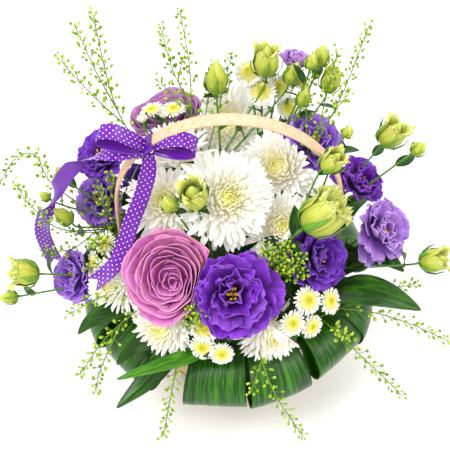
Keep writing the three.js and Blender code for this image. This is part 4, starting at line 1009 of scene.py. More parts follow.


# Rose petals: satiny lilac pink, with a peach blush on the outer ones. The stops darken to the root, painted
# shade deep down in the folds, and lighten at the rim, partly its own paler edge and partly painted
# highlight.
rose_pink = petal_material(
    "rose_petal_lilac_pink",
    [(0.0, "#8a2470"), (0.4, "#c254a6"), (0.75, "#dd7cc8"), (0.93, "#e492d6"), (1.0, "#e8a0dc")],
    "#da82c8", "#b866a4", 0.15, sheen=0.08, blush="#efa6b4",
)
# The mauve rose is duller and greyer. Its stops darken to deep purple at the roots, painted shade in the
# folds, and lighten at the rims, partly painted highlight.
rose_mauve = petal_material(
    "rose_petal_mauve",
    [(0.0, "#7d2c7c"), (0.45, "#a552a6"), (0.8, "#be76bf"), (1.0, "#d39ad2")],
    "#c07fc2", "#8f5592", 0.25, blush="#cf92c0",
)


def wrapped_petals(azimuth, span, foot, foot_height, rim, rim_height, roll, seed):
    """Petals wrapped round +Z like pieces of a bowl, (petal, along, across, 3). span is how far round a
    petal goes, in radians, and roll how far its rim curls outward, in millimetres."""
    n = len(azimuth)
    column = partial(each, n=n, axes=2)
    s = np.linspace(0, 1, 13)[None, :, None]
    u = np.linspace(-1, 1, 17)[None, None, :]
    phase = np.random.default_rng(seed).random((n, 4)) * 6.28
    bowl = np.sin(np.pi / 2 * np.clip(s * 1.04, 0, 1)) ** 0.9
    r = column(foot) + (column(rim) - column(foot)) * bowl
    z = column(foot_height) + (column(rim_height) - column(foot_height)) * s**1.25
    curl = np.clip((s - 0.7) / 0.3, 0, 1)
    lip = 0.65 + 0.35 * np.sin(2.2 * u + phase[:, 3:, None])  # the rim curls more in some places
    r = r + column(roll) * curl**1.4 * (1 - 0.35 * u**2) * lip
    z = z - 0.6 * column(roll) * curl**2.5 * lip
    crown = -0.22 * (np.abs(u) ** 2.6) * (column(rim_height) - column(foot_height))
    notch = -1.1 * np.exp(-(((u - 0.3 * np.sin(phase[:, 2:3, None])) / 0.14) ** 2))
    z = z + (crown + notch) * s**2
    r = r * (1 + 0.08 * u)  # one side edge lies outside the next petal's
    ripple = np.sin(2.6 * u + phase[:, :1, None]) + 0.7 * np.sin(5.5 * u + phase[:, 1:2, None])
    r = r + ripple * s**2 * (0.4 + 0.035 * column(rim))
    z = z + np.sin(4.1 * u + phase[:, 2:3, None]) * 0.8 * s**3
    phi = column(azimuth) - u * column(span) / 2 * (0.72 + 0.28 * np.sin(np.pi / 2 * np.clip(s * 1.5, 0, 1)))
    return ringed(r, phi, z)


# A rose from the outside in: petals in the ring, their span, rim radius, rim height, and roll of the
# rim. The last four rings are the folds of the heart.
ROSE_RINGS = [
    (5, 1.9, 0.97, 0.46, 4.5), (5, 1.85, 0.93, 0.6, 4.0), (5, 1.8, 0.83, 0.69, 3.4),
    (5, 1.7, 0.72, 0.72, 2.4), (5, 1.7, 0.62, 0.7, 1.8), (5, 1.6, 0.53, 0.66, 1.2),
    (4, 1.9, 0.42, 0.63, 1.0), (3, 2.3, 0.31, 0.62, 0.8), (3, 2.2, 0.2, 0.61, 0.5), (2, 2.9, 0.1, 0.6, 0.3),
]


def rose(head):
    """A rose's petals, and the sepals and hip under it."""
    (radius,) = head["sizes"]
    parts = []
    seed = int(rng.integers(1 << 30))
    # The heart lies a little to one side, so the rings move over from one to the next.
    aside = unit(head["turn"].T @ np.array([0.75, -0.5, -0.4])) * np.array([1, 1, 0])
    for k, (count, span, rim, height, roll) in enumerate(ROSE_RINGS):
        azimuth = ring_of(count) + 0.9 * k + rng.normal(0, 0.12, count)
        rims = radius * rim * rng.uniform(0.93, 1.04, count)
        tops = radius * height * rng.uniform(0.9, 1.06, count)
        foot = radius * min(0.16, 0.6 * rim)
        foot_height = radius * (0.08 if k < 6 else 0.2)
        spots = wrapped_petals(azimuth, span, foot, foot_height, rims, tops, roll, seed + k)
        t = np.linspace(0, 1, spots.shape[1])[None, :, None, None]
        spots = spots + aside * radius * 0.028 * k * t
        parts.append(sheets(pressed(spots, head, 1.1 * k), 0.7, age=1 - k / 9, rim=0.6))
    outline = [(0.14, 0.02), (0.3, 0.1), (0.45, 0.22), (0.3, 0.3)]
    floor = turned([(0.3, 0), *scaled(outline, radius), (0.3, 0.32 * radius)], 20)
    sepals = petal_fan(
        ring_of(5) + 0.3, 2.0, -0.02 * radius, 0.62 * radius, 0.2 * radius, 100, 22, 0.3, along=9, tip=0.06
    )
    hip = turned([(0.3, -7), (2.6, -6), (4.2, -3), (4.6, 0), (3.4, 2.4), (0.3, 3)], 14)
    return together([*parts, floor]), together([sheets(sepals, 0.7), hip])


ROSE_FINISH = {
    "pink_rose": (rose_pink, "pink_rose_petals"), "mauve_rose_back": (rose_mauve, "mauve_rose_petals"),
}
for node, head in heads_of("rose"):
    petals, greens = rose(head)
    make(f"{node}_petals", moved(petals, head["turn"], head["base"]), *ROSE_FINISH[node], [node])
    keep(green_bodies, node, head, greens)

# ---- Lisianthus -----------------------------------------------------------------------------------
# Double lisianthus from dark violet to pale lilac. Each has twenty-seven thin broad petals with frilled
# rims: the outer ones spread, and the inner ones stand round a dark throat with yellow anthers.
# Each colour of petal: its tones from root to rim, then its back, its veins, what some petals lean to
# and its blush. They are thin and matt, with fine close veins.
VIOLETS = {
    tone: petal_material(f"lisianthus_petal_{name}", stops, back, dark_root, 0.15, 0.12, 22.0, blush, faded)
    for tone, name, stops, back, dark_root, faded, blush in (
        ("violet", "violet",
         [(0.0, "#200218"), (0.2, "#4a0a62"), (0.5, "#701caa"), (0.85, "#9038d8"), (1.0, "#9e50e2")],
         "#8c4ab8", "#551a84", "#a866dc", None),
        ("violet_and_lilac", "violet_fading",
         [(0.0, "#3a0a52"), (0.2, "#62209e"), (0.55, "#8a42d6"), (0.88, "#b27aee"), (1.0, "#c696f4")],
         "#b688dc", "#6a30b0", "#c9a0ea", "#c290e0"),
        ("purple", "dark_purple",
         [(0.0, "#1c0226"), (0.25, "#420c72"), (0.6, "#621ea6"), (0.9, "#8236ce"), (1.0, "#9450da")],
         "#7f48b4", "#3c1070", "#8a50cc", None),
        ("lilac", "lilac",
         [(0.0, "#5c2488"), (0.22, "#8c52c6"), (0.55, "#b47ae0"), (0.86, "#cc9cf0"), (1.0, "#e2c2fa")],
         "#cc9ee0", "#9664c4", "#d2a6f0", None),
        ("pink_lilac", "pink_lilac",
         [(0.0, "#7a3a9c"), (0.22, "#a862c8"), (0.55, "#c68ce0"), (0.86, "#d8a8ee"), (1.0, "#e8c8f6")],
         "#d29fe4", "#b07cce", "#dcb4f0", None),
    )
}
LISIANTHUS_FINISH = {
    "front": ("violet", "violet_petals"), "left": ("violet_and_lilac", "violet_petals"),
    "far_left": ("violet_and_lilac", "violet_petals"), "upper_right": ("violet_and_lilac", "violet_petals"),
    "right_front": ("purple", "purple_petals"), "upper_left": ("purple", "purple_petals"),
    "right": ("violet", "purple_petals"), "back": ("purple", "purple_petals"),
    "far_right": ("lilac", "lilac_petals"), "top": ("pink_lilac", "lilac_petals"),
}

# Anthers: soft yellow dust on small two-lobed pads.
anther_dust, tree, shader = new_material("anther_pollen_yellow", Roughness=0.85)
grains = add(tree, "TexNoise", {"Scale": 1500.0, "Detail": 2.0})
tone = add(tree, "ValToRGB", {"Fac": grains.outputs[0]}, ramp=[(0.35, "#ecb400"), (0.6, "#ffdc1a")])
coloured(tree, shader, tone.outputs[0], grains.outputs[0], 0.6, 0.2)


def pip(spot, direction, length, radius):
    """A small egg-shaped body, such as an anther; spot is its near end."""
    t = np.linspace(0, 1, 7)
    radii = radius * np.sqrt(np.maximum(np.sin(np.pi * (0.04 + 0.92 * t)), 0.01))
    path = np.asarray(spot)[None] + t[:, None] * length * unit(np.asarray(direction))[None]
    return tubes(path[None], radii[None], sides=7)


# A full lisianthus and a small one from the outside in: petals in the ring, their length, tilt, bend
# and cup, and the height of their roots.
FULL_RINGS = [
    (6, 1.0, 82, -6, 0.2, 0.08), (6, 0.94, 62, 4, 0.25, 0.1), (6, 0.88, 44, 8, 0.3, 0.12),
    (5, 0.78, 30, 10, 0.4, 0.14), (4, 0.62, 27, -4, 0.5, 0.16),
]
SMALL_RINGS = [(5, 1.0, 34, 14, 0.35, 0.1), (5, 0.95, 24, 10, 0.4, 0.12), (4, 0.85, 14, 4, 0.5, 0.14)]
SMALL = 25  # a lisianthus with a smaller radius than this has the small rings


def lisianthus(head):
    """A bloom's petals, its sepals, and the anthers and stigma."""
    (radius,) = head["sizes"]
    rings = SMALL_RINGS if radius < SMALL else FULL_RINGS
    parts = []
    for k, (count, length, tilt, bend, cup, height) in enumerate(rings):
        seed = int(rng.integers(1 << 30))
        azimuth = ring_of(count) + 0.55 * k + rng.normal(0, 0.14, count)
        lengths = radius * length * rng.uniform(0.92, 1.06, count)
        widths = lengths * rng.uniform(0.86, 1.02, count)
        tilts = tilt + rng.normal(0, 8, count)
        bends = bend + rng.normal(0, 14, count)

        def petals(lift):
            return petal_fan(
                azimuth, 0.07 * radius, height * radius, lengths, widths, np.maximum(tilts - lift, 3), bends,
                cup, along=14, across=25, narrow=0.22, fullest=0.8, tip=0.72, frill=0.068 * radius, folds=3.1,
                scallop=0.11, seed=seed,
            )

        parts.append(sheets(crowded(petals, head, count), 0.55, age=1 - k / (len(rings) - 1), rim=0.6))
    outline = [(0.12, 0), (0.15, 0.1), (0.1, 0.24)]
    floor = turned([(0.3, -1), *scaled(outline, radius), (0.3, 0.28 * radius)], 14)
    # Six anthers on short threads, and a stigma of two lobes in the middle.
    pips = []
    for j in range(6):
        a = j * 1.1 + rng.normal(0, 0.2)
        lean = unit(np.array([0.4 * math.cos(a), 0.4 * math.sin(a), 1.0]))
        top = np.array([0, 0, 0.27 * radius]) + lean * radius * rng.uniform(0.24, 0.32)
        pips.append(tubes(np.linspace([0, 0, 0.2 * radius], top, 4)[None], 0.35, sides=5))
        pips.append(pip(top, np.cross(lean, [0.3, 0.2, 1]) + 0.5 * lean, 0.085 * radius, 0.028 * radius))
    for j in (-1, 1):
        pips.append(pip([0.5 * j, 0, 0.46 * radius], [0.7 * j, 0.2, 0.6], 0.1 * radius, 0.04 * radius))
    sepals = petal_fan(
        ring_of(5), 1.6, 0, 0.6 * radius, 0.09 * radius, 70, -10, 0.3, along=8, across=3, tip=0.05
    )
    return together([*parts, floor]), sheets(sepals, 0.6), together(pips)


blooms, dusts = {}, {}
for node, head in heads_of("lisianthus"):
    for bodies, body in zip((blooms, green_bodies, dusts), lisianthus(head)):
        keep(bodies, node, head, body)
for node, bodies in blooms.items():
    tone, slot = LISIANTHUS_FINISH[node.removeprefix("lisianthus_")]
    make(f"{node}_petals", together(bodies), VIOLETS[tone], slot, [node])
    make(f"{node}_anthers", together(dusts[node]), anther_dust, "bud_green")

# ---- Buds -----------------------------------------------------------------------------------------
# Lisianthus buds on thin stalks of their own. Shut ones are wound like an umbrella, half-open ones make
# a cup with torn-looking rims, and one at the right has nearly opened. They are still yellow-green.
# The skin is soft and a little shiny: olive at the foot, pale yellow-green at the tip, and greener
# along the folds, where age is near 1.
bud_green, tree, shader = new_material(
    "lisianthus_bud_yellow_green", Roughness=0.5, Specular_IOR_Level=0.35, Sheen_Weight=0.15
)
surface, _, shifted = own_surface(tree)
edges = add(tree, "Attribute", attribute_name="age")
bud_tones = [(0.0, "#8ea028"), (0.3, "#b8c03e"), (0.65, "#d0d25c"), (1.0, "#e8e890")]
along_tone, _ = by_length(tree, surface, bud_tones)
edge_tones = [(0.0, "#ffffff"), (0.8, "#eaf2c4"), (1.0, "#8fae3c")]
edge_tone = add(tree, "ValToRGB", {"Fac": edges.outputs["Fac"]}, ramp=edge_tones)
tinted = add(tree, "Mix", {0: 1.0, 6: along_tone, 7: edge_tone.outputs[0]}, **TINT)
furrows = [(0.3, "#b9cf6a"), (0.6, "#ffffff")]
veined_petal(
    tree, shader, tinted.outputs[2], shifted, 18.0, 1.5, 0.6, furrows, (0.45, 0.5), 0.15, Detail=3.0
)

# Outlines of a shut and a half-open bud: how far along, and how wide there.
SHUT = ([0, 0.1, 0.32, 0.6, 0.84, 1], [0.42, 0.8, 1.0, 0.8, 0.42, 0.1])
HALF_SHUT = ([0, 0.12, 0.38, 0.66, 0.86, 1], [0.36, 0.76, 1.0, 0.86, 0.74, 0.84])


def shut_bud(radius, length):
    """Petals wound round one another: their edges run up and round the bud as low steps."""
    twist = rng.uniform(2.0, 3.0)
    rows, sides, wound = 24, 70, 5  # rings along the bud, points round it, and petals
    t = np.linspace(0, 1, rows)
    swell = np.interp(t, *SHUT)
    swell = np.convolve(np.pad(swell, 1, mode="edge"), [0.25, 0.5, 0.25], "valid")
    angle = ring_of(sides)

    def edge(k):
        spiral = twist * 2 * np.pi * t[min(max(k - 1, 0), rows - 1)] * 0.8
        return np.mod((wound * angle + spiral) / (2 * np.pi), 1)

    def wave(_, k):
        return radius * swell[k - 1] * 0.24 * (edge(k) ** 1.5 - 0.4) if 0 < k <= rows else 0

    body = turned([(0.2, 0.2), *zip(radius * swell, length * t), (0.1, length)], sides, wave)
    body["age"] = np.concatenate([edge(k) for k in range(rows + 2)])
    return body


def opening_petals(radius, length, mouth, count, ring, ragged):
    """Petals standing round a bud that opens: they bulge low down, draw in, and flare at pointed tips."""
    s = np.linspace(0, 1, 18)[None, :, None]
    u = np.linspace(-1, 1, 17)[None, None, :]
    own = rng.random((count, 4))[:, :, None, None]
    around = (ring_of(count) + 0.63 * ring + rng.normal(0, 0.12, count))[:, None, None]
    out = radius * (np.interp(s, *HALF_SHUT) * (1 - 0.13 * ring) + mouth * (0.3 + 0.5 * own[:, 0]) * s**4)
    out = out * (1 + 0.07 * u)  # one side edge lies outside the next petal's
    out = out + radius * s**2 * (0.1 * u**2 + 0.05 * np.sin(4 * u + 6 * own[:, 1]))
    taper = np.interp(s, [0, 0.25, 0.55, 0.8, 1], [0.7, 1.0, 0.94, 0.62 + ragged, 0.1 + 1.6 * ragged])
    angle = around + u * taper * 3.9 / count + 0.25 * s + 0.06 * np.sin(9 * s + 6 * own[:, 2])
    tall = length * (0.86 + 0.2 * own[:, 3])
    teeth = np.abs(np.sin(5.5 * u + 6 * own[:, 1])) + 0.5 * np.abs(np.sin(12 * u + 6 * own[:, 2]))
    torn = ragged * (teeth - 0.9)
    height = tall * (s + (torn - 0.1 * u**2) * s**5) - 0.3 * mouth * radius * s**6
    return ringed(out, angle, height)


def half_open_bud(radius, length, mouth, ragged=0.0):
    """Two rings of loose petals round a core that is still wound."""
    core = shut_bud(0.74 * radius, 0.88 * length)
    rings = [(5, 0), (5, 1), (4, 2)] if ragged else [(5, 0), (4, 1)]
    loose = []
    for n, k in rings:
        spots = opening_petals(radius, length, mouth, n, k, ragged)
        loose.append(sheets(spots, 0.6, age=0.3 * k, rim=0.6))
    return together([*loose, core])


def bud_sepals(radius, length, outline):
    """Five narrow sepals that lie on the bud, with their tips a little off it."""
    s = np.linspace(0, 1, 12)[None, :, None]
    u = np.linspace(-1, 1, 5)[None, None, :]
    reach = rng.uniform(0.55, 0.8, 5)[:, None, None]
    out = radius * np.interp(s * reach, *outline) * 1.12 + 0.6 + 0.25 * radius * s**4 - 0.3 * u**2
    angle = (ring_of(5) + rng.uniform(0, 1))[:, None, None] + 0.3 * s
    angle = angle + u * 0.22 * (1 - s**1.6) ** 0.8 / np.maximum(out / radius, 0.3)
    return ringed(out, angle, length * s * reach)


bud_bodies = {}
for node, head in heads_of("bud", "opening"):
    if head["kind"] == "opening":
        radius, length, mouth = 0.84 * head["sizes"][0], 2.0 * head["sizes"][0], 0.5
        body = half_open_bud(radius, length, mouth, ragged=0.12)
    else:
        radius, length, mouth = head["sizes"]
        body = half_open_bud(0.9 * radius, 1.06 * length, mouth) if mouth else shut_bud(radius, length)
    outline = [(0.2, -1.5), (1.4, -1.2), (0.3 * radius + 0.8, 0.6), (0.5 * radius, 0.13 * length)]
    cup = turned([*outline, (0.2, 0.2 * length)], 14)
    sepals = sheets(bud_sepals(radius, length, HALF_SHUT if mouth else SHUT), 0.6)
    keep(bud_bodies, node, head, body)
    keep(green_bodies, node, head, together([sepals, cup]))
for node, bodies in bud_bodies.items():
    make(f"{node}_buds", together(bodies), bud_green, "bud_green", [node])

# ---- Button daisies -------------------------------------------------------------------------------
# Small white spray chrysanthemums with a raised disc of 150 tube florets: bright yellow in the middle,
# where they are still shut, and pale cream outside. Two rows of short rays stand round the disc.
# The rays are milky white with fine veins, and greenish cream where they stand in the disc: partly their own
# tone, partly painted shade.
# The rays have a quarter of the chrysanthemum's painted glow.
ray_white, tree, shader = new_material(
    "daisy_ray_white", Roughness=0.55, Specular_IOR_Level=0.35, Sheen_Weight=0.3, Sheen_Roughness=0.5,
    Emission_Strength=PAINTED_GLOW / 4,
)
surface, _, shifted = own_surface(tree)
# Greenish towards the root: partly painted shade among the disc florets.
ray_tone_and_painted_shade, _ = by_length(tree, surface, [(0.0, "#d5dc96"), (0.35, "#f4f4e0"), (0.75, "#fefdf6")])
furrows = [(0.32, "#eceae2"), (0.6, "#ffffff")]
white = veined_petal(
    tree, shader, ray_tone_and_painted_shade, shifted, 6.0, 0.8, 0.8, furrows, (0.45, 0.3), 0.1, Detail=2.0
)
# The painted glow takes the ray's colour.
tree.links.new(white, shader.inputs["Emission Color"])

# Tube florets: age 0 in the middle of the disc and 1 at its edge. Their feet are darker than their tips.
floret_yellow, tree, shader = new_material("daisy_disc_floret_soft", Roughness=0.8, Sheen_Weight=0.2)
age = add(tree, "Attribute", attribute_name="age")
surface, own, _ = own_surface(tree)
disc_tones = [(0.0, "#d2cc0a"), (0.25, "#ece414"), (0.5, "#f4ee58"), (0.8, "#faf4a6"), (1.0, "#ece4a0")]
disc_tone = add(tree, "ValToRGB", {"Fac": age.outputs["Fac"]}, ramp=disc_tones)
tip_tone, _ = by_length(tree, surface, [(0.2, "#b8b070"), (0.6, "#ffffff")])
own_tone = add(tree, "ValToRGB", {"Fac": own}, ramp=[(0.0, "#f2e7b0"), (0.3, "#ffffff")])
tinted = add(tree, "Mix", {0: 1.0, 6: disc_tone.outputs[0], 7: tip_tone}, **TINT)
both = add(tree, "Mix", {0: 1.0, 6: tinted.outputs[2], 7: own_tone.outputs[0]}, **TINT)
coloured(tree, shader, both.outputs[2])

SHUT_DAISY = 9  # a daisy with a smaller radius than this is still shut
SHUT_RAYS, RAYS, FLORETS = 44, 48, 150


def shut_daisy(radius):
    """A round head of white rays that all bend in over the disc."""
    t = np.arange(SHUT_RAYS) / (SHUT_RAYS - 1)
    rays = petal_fan(
        np.arange(SHUT_RAYS) * GOLDEN, 0.5 * radius * np.sqrt(1 - 0.9 * t), 0.05 * radius,
        radius * (1.05 - 0.4 * t), 0.3 * radius, 62 * (1 - t) + 4, -62 * (1 - t) - 20, 0.6, along=7, across=3,
    )
    outline = [(0.5, 0.1), (0.4, 0.6)]
    return sheets(rays, 0.5), turned([(0.1, 0), *scaled(outline, radius), (0.1, 0.75 * radius)], 12, age=0.4)


def open_daisy(radius):
    """Two rows of rays, and florets in a spiral on a low mound with a dimple in the middle."""
    row = np.arange(RAYS) % 2
    rays = petal_fan(
        ring_of(RAYS) + rng.normal(0, 0.04, RAYS), 0.54 * radius, 0.12 * radius + 0.05 * radius * row,
        radius * (0.54 - 0.05 * row) * rng.uniform(0.88, 1.08, RAYS), 0.17 * radius,
        78 - 14 * row + rng.normal(0, 5, RAYS), 14 + rng.normal(0, 8, RAYS), 0.5,
        along=7, across=5, tip=0.34, narrow=0.6,
    )
    white = sheets(rays, 0.45)
    t = (np.arange(FLORETS) + 0.5) / FLORETS
    r = 0.66 * radius * np.sqrt(t)
    a = np.arange(FLORETS) * GOLDEN
    lift = radius * (0.16 + 0.26 * np.sqrt(1 - 0.96 * t) - 0.1 * np.exp(-((r / (0.14 * radius)) ** 2)))
    root, end = ringed(0.86 * r, a, lift - 0.13 * radius), ringed(r, a, lift)
    k = np.linspace(0, 1, 5)[None, :, None]
    thick = radius * (0.03 + 0.022 * np.sqrt(t))[:, None] * np.array([0.7, 0.8, 1.05, 1.1, 0.5])[None]
    florets = tubes(root[:, None] * (1 - k) + end[:, None] * k, thick, sides=6, age=np.sqrt(t))
    outline = [(0.55, 0.1), (0.5, 0.18)]
    mound = turned([(0.1, 0.02 * radius), *scaled(outline, radius), (0.1, 0.26 * radius)], 20, age=0.7)
    return white, together([florets, mound])


def daisy(head):
    """A daisy's rays, its disc, and the green under it."""
    (radius,) = head["sizes"]
    white, disc = shut_daisy(radius) if radius < SHUT_DAISY else open_daisy(radius)
    bracts = petal_fan(
        ring_of(12), 0.1 * radius, -0.06 * radius, 0.55 * radius, 0.2 * radius, 82, -30, 0.2,
        along=6, across=3, tip=0.1,
    )
    outline = [(0.14, -0.12), (0.5, 0.04)]
    base = turned([(0.1, -0.16 * radius), *scaled(outline, radius), (0.1, 0.1 * radius)], 14)
    return white, disc, together([sheets(bracts, 0.5), base])


rays, discs = {}, {}
for node, head in heads_of("daisy"):
    for bodies, body in zip((rays, discs, green_bodies), daisy(head)):
        keep(bodies, node, head, body)
for node, bodies in rays.items():
    make(f"{node}_rays", together(bodies), ray_white, "white_petals", [node])
    make(f"{node}_discs", together(discs[node]), floret_yellow, "white_petals")

# ---- Stalks and their leaves ----------------------------------------------------------------------
# Each stalk keeps some of its leaves above the foam. Those of the lisianthus are smooth ovals, those of
# the others are lobed. They fill the shade between the heads.
# Matt green leaves with a few broad ribs, so that the shade between the heads stays quiet.
stem_leaf = leaf_material("stem_leaf_matt_green", "#0a2203", "#1a4207", "#3d7014", 9.0, 0.5, 0.5)


def blades(roots, directions, normals, length, width, droop, lobes=0.0, along=11, fold=0.25):
    """Leaves from roots: each runs along its direction, droops, and is folded along its midrib."""
    n = len(roots)
    column = partial(each, n=n, axes=2)
    s = np.linspace(0, 1, along)[None, :, None]
    u = np.linspace(-1, 1, 7)[None, None, :]
    half = column(width) / 2 * np.sin(np.pi * np.clip(s * 0.93 + 0.05, 0, 1) ** 0.8) ** 0.85
    half = half * (1 - column(lobes) * (0.5 + 0.5 * np.cos(2 * np.pi * 3.5 * s)) * (s < 0.93))
    forward = column(length) * s * (1 - 0.12 * s)
    sink = column(droop) * column(length) * s**2
    rise = column(fold) * half * np.abs(u) - sink
    d, m = unit(np.asarray(directions)), unit(np.asarray(normals))
    side = unit(np.cross(d, m))
    m = np.cross(side, d)
    spots = np.asarray(roots)[:, None, None] + forward[..., None] * d[:, None, None]
    spots = spots + rise[..., None] * m[:, None, None]
    return spots + (half * u)[..., None] * side[:, None, None]


LEAF_LENGTH = {"mum": 38, "rose": 34, "lisianthus": 34, "bud": 28, "opening": 34, "daisy": 28}
for node, lines in stalk_lines.items():
    kind = heads[node][0]["kind"]
    size = LEAF_LENGTH[kind]
    lobed = kind in ("mum", "daisy")
    roots, ways, normals, sizes = [], [], [], []
    for i, line in enumerate(lines):
        main = (i == len(lines) - 1) if kind in ("daisy", "bud") else i == 0
        path, _ = even(line, 60)
        # The main stalk is bare in the foam; every stalk is bare for a little way below its head.
        spots = path[np.linalg.norm(path - HEART, axis=1) > 62] if main else path[18:]
        last = len(spots) - (10 if kind in ("lisianthus", "rose") else 7)
        count = (5 if kind in ("mum", "rose") else 7) if main else (3 if kind == "daisy" else 2)
        if last < 8:
            continue
        at = np.linspace(1, max(last, 4), count).astype(int)
        way = unit(np.gradient(spots, axis=0))[at]
        spin = rng.uniform(0, 6.28) + np.arange(count) * GOLDEN
        across = unit(np.cross(way, [0.3, 0.2, 1.0]))
        around = np.cos(spin)[:, None] * across + np.sin(spin)[:, None] * np.cross(way, across)
        roots.append(spots[at])
        ways.append(around + 0.7 * way)
        normals.append(way - 0.6 * around)
        sizes.append(size * (1.0 if main else 0.8) * rng.uniform(0.75, 1.1, count))
    if not roots:
        continue
    sizes = np.concatenate(sizes)
    leaves = blades(
        np.vstack(roots), np.vstack(ways), np.vstack(normals), sizes, sizes * (0.44 if lobed else 0.4),
        droop=rng.uniform(0.1, 0.35, len(sizes)), lobes=0.35 if lobed else 0.0,
    )
    skins = sheets(leaves, 0.5, uv=uv_grid(7, 11, tall=2), rim=0.6)
    make(f"{node}_leaves", skins, stem_leaf, "leaf_deep_green")

for node, body in stem_bodies.items():
    make(f"{node}_stem", body, stem_skin, "bud_green", [node])
for node, bodies in green_bodies.items():
    make(f"{node}_calyx", together(bodies), calyx_green, "bud_green", [node])

# ---- Pod sprays -----------------------------------------------------------------------------------
# Field pennycress, cut green: thin wiry stems with flat round pods on hair-thin stalks, set in a spiral
# along the upper part. A stem is how far along it the pods begin, then its places; a side stem first
# says how far along the main one it leaves it.
SPRAYS = {
    "pod_spray_upper_left": (
        (0.45, (152, 52, 60), (153, 58, 150), (155, 59, 230), (154, 66, 337)),
        [(0.62, 0.1, (159, 62, 280), (160, 64, 336)), (0.55, 0.1, (164, 60, 265), (169, 61, 323))],
    ),
    "pod_spray_top": (
        (0.45, (110, 60, 62), (114, 60, 180), (120, 62, 235), (123, 65, 283)),
        [
            (0.55, 0.15, (112, 64, 235), (113, 66, 292)), (0.72, 0.1, (115, 65, 247)),
            (0.3, 0.2, (98, 60, 175), (89, 61, 236)), (0.4, 0.2, (104, 62, 190), (98, 63, 232)),
            (0.5, 0.2, (120, 58, 200), (126, 58, 226)),
        ],
    ),
    "pod_spray_upper_right": (
        (0.4, (30, 52, 62), (32, 55, 170), (31, 58, 240), (32, 61, 314)),
        [
            (0.45, 0.1, (37, 58, 220), (38, 62, 277)), (0.6, 0.1, (28, 58, 244)),
            (0.4, 0.1, (44, 58, 200), (48, 60, 246)),
        ],
    ),
    "pod_spray_left": (
        (0.4, (172, 20, 50), (171, 25, 112), (177, 38, 215), (179, 45, 258), (181, 43, 274), (184, 36, 272)),
        [
            (0.3, 0.3, (185, 30, 190), (188, 37, 238), (189, 42, 270)),
            (0.3, 0.15, (178, 40, 160), (180, 48, 190)),
            (0.3, 0.15, (190, 34, 150), (198, 38, 178)), (0.35, 0.2, (186, 24, 170), (192, 26, 205)),
            (0.35, 0.1, (180, 30, 150), (183, 28, 178)), (0.3, 0.1, (196, 30, 150), (203, 30, 172)),
            (0.38, 0.1, (170, 44, 160), (172, 50, 184)),
        ],
    ),
    "pod_spray_low_left": (
        (0.4, (224, 24, 50), (225, 29, 122), (227, 22, 182), (230, 17, 226)),
        [(0.65, 0.1, (231, 15, 200), (234, 13, 218)), (0.45, 0.2, (213, 27, 152), (206, 13, 180))],
    ),
    "pod_spray_front_left": (
        (0.45, (247, 22, 50), (247, 21, 116), (251, 14, 165), (253, 5, 212)),
        [
            (0.3, 0.7, (253, 34, 128), (255, 40, 156)), (0.32, 0.7, (251, 32, 130), (252, 38, 152)),
            (0.3, 0.7, (255, 32, 128), (258, 37, 154)), (0.34, 0.7, (252, 30, 132), (253, 34, 150)),
        ],
    ),
    "pod_spray_front": (
        (0.45, (284, 22, 50), (283, 21, 116), (284, 13, 172), (289, 4, 213)), [(0.55, 0.1, (277, 13, 174))],
    ),
    "pod_spray_right": (
        (0.45, (318, 20, 50), (317, 21, 118), (313, 15, 196), (315, 7, 234)),
        [
            (0.3, 0.3, (326, 21, 170), (329, 17, 210), (331, 12, 244)), (0.5, 0.1, (310, 25, 192)),
            (0.42, 0.2, (335, 22, 178), (341, 20, 205)),
        ],
    ),
    "pod_cluster_front_right": (
        (0.5, (300, 48, 50), (302, 50, 118), (296, 55, 138)),
        [
            (0.7, 0.1, (308, 51, 132), (313, 51, 156)),
            (0.78, 0.1, (303, 51, 159)), (0.8, 0.1, (298, 59, 150)),
            (0.7, 0.1, (306, 47, 132), (311, 46, 152)), (0.74, 0.1, (306, 55, 140), (309, 57, 158)),
        ],
    ),
}

# Pod skin: dull yellow-green with a darker seam down the middle, lighter towards the sides.
pod_skin, tree, shader = new_material("pennycress_pod_dull_green", Roughness=0.55, Specular_IOR_Level=0.35)
surface, own, _ = own_surface(tree)
split = add(tree, "SeparateXYZ", {0: surface})
across = add(tree, "Math", {0: split.outputs[0], 1: 0.5}, operation="SUBTRACT")
off = add(tree, "Math", {0: across.outputs[0]}, operation="ABSOLUTE")
seam_tones = [(0.0, "#5f8410"), (0.08, "#90b41a"), (0.32, "#aecc28"), (0.5, "#cbe052")]
seam_tone = add(tree, "ValToRGB", {"Fac": off.outputs[0]}, ramp=seam_tones)
own_tones = [(0.0, "#a9c26c"), (0.5, "#e4efb0"), (1.0, "#ffffff")]
own_tone = add(tree, "ValToRGB", {"Fac": own}, ramp=own_tones)
both = add(tree, "Mix", {0: 1.0, 6: seam_tone.outputs[0], 7: own_tone.outputs[0]}, **TINT)
coloured(tree, shader, both.outputs[2])
let_light_through(tree, shader, both.outputs[2], 0.15)

# Wiry stem: thinner and brighter than the flower stalks, with fine ridges.
wiry_tones = [(0.3, "#4b7212"), (0.6, "#6d931f"), (0.8, "#93b53e")]
wiry_stem = ribbed_skin("pennycress_stem_ridged", 8.0, 3.0, wiry_tones, 2.0, 2.0, relief=0, Roughness=0.5)

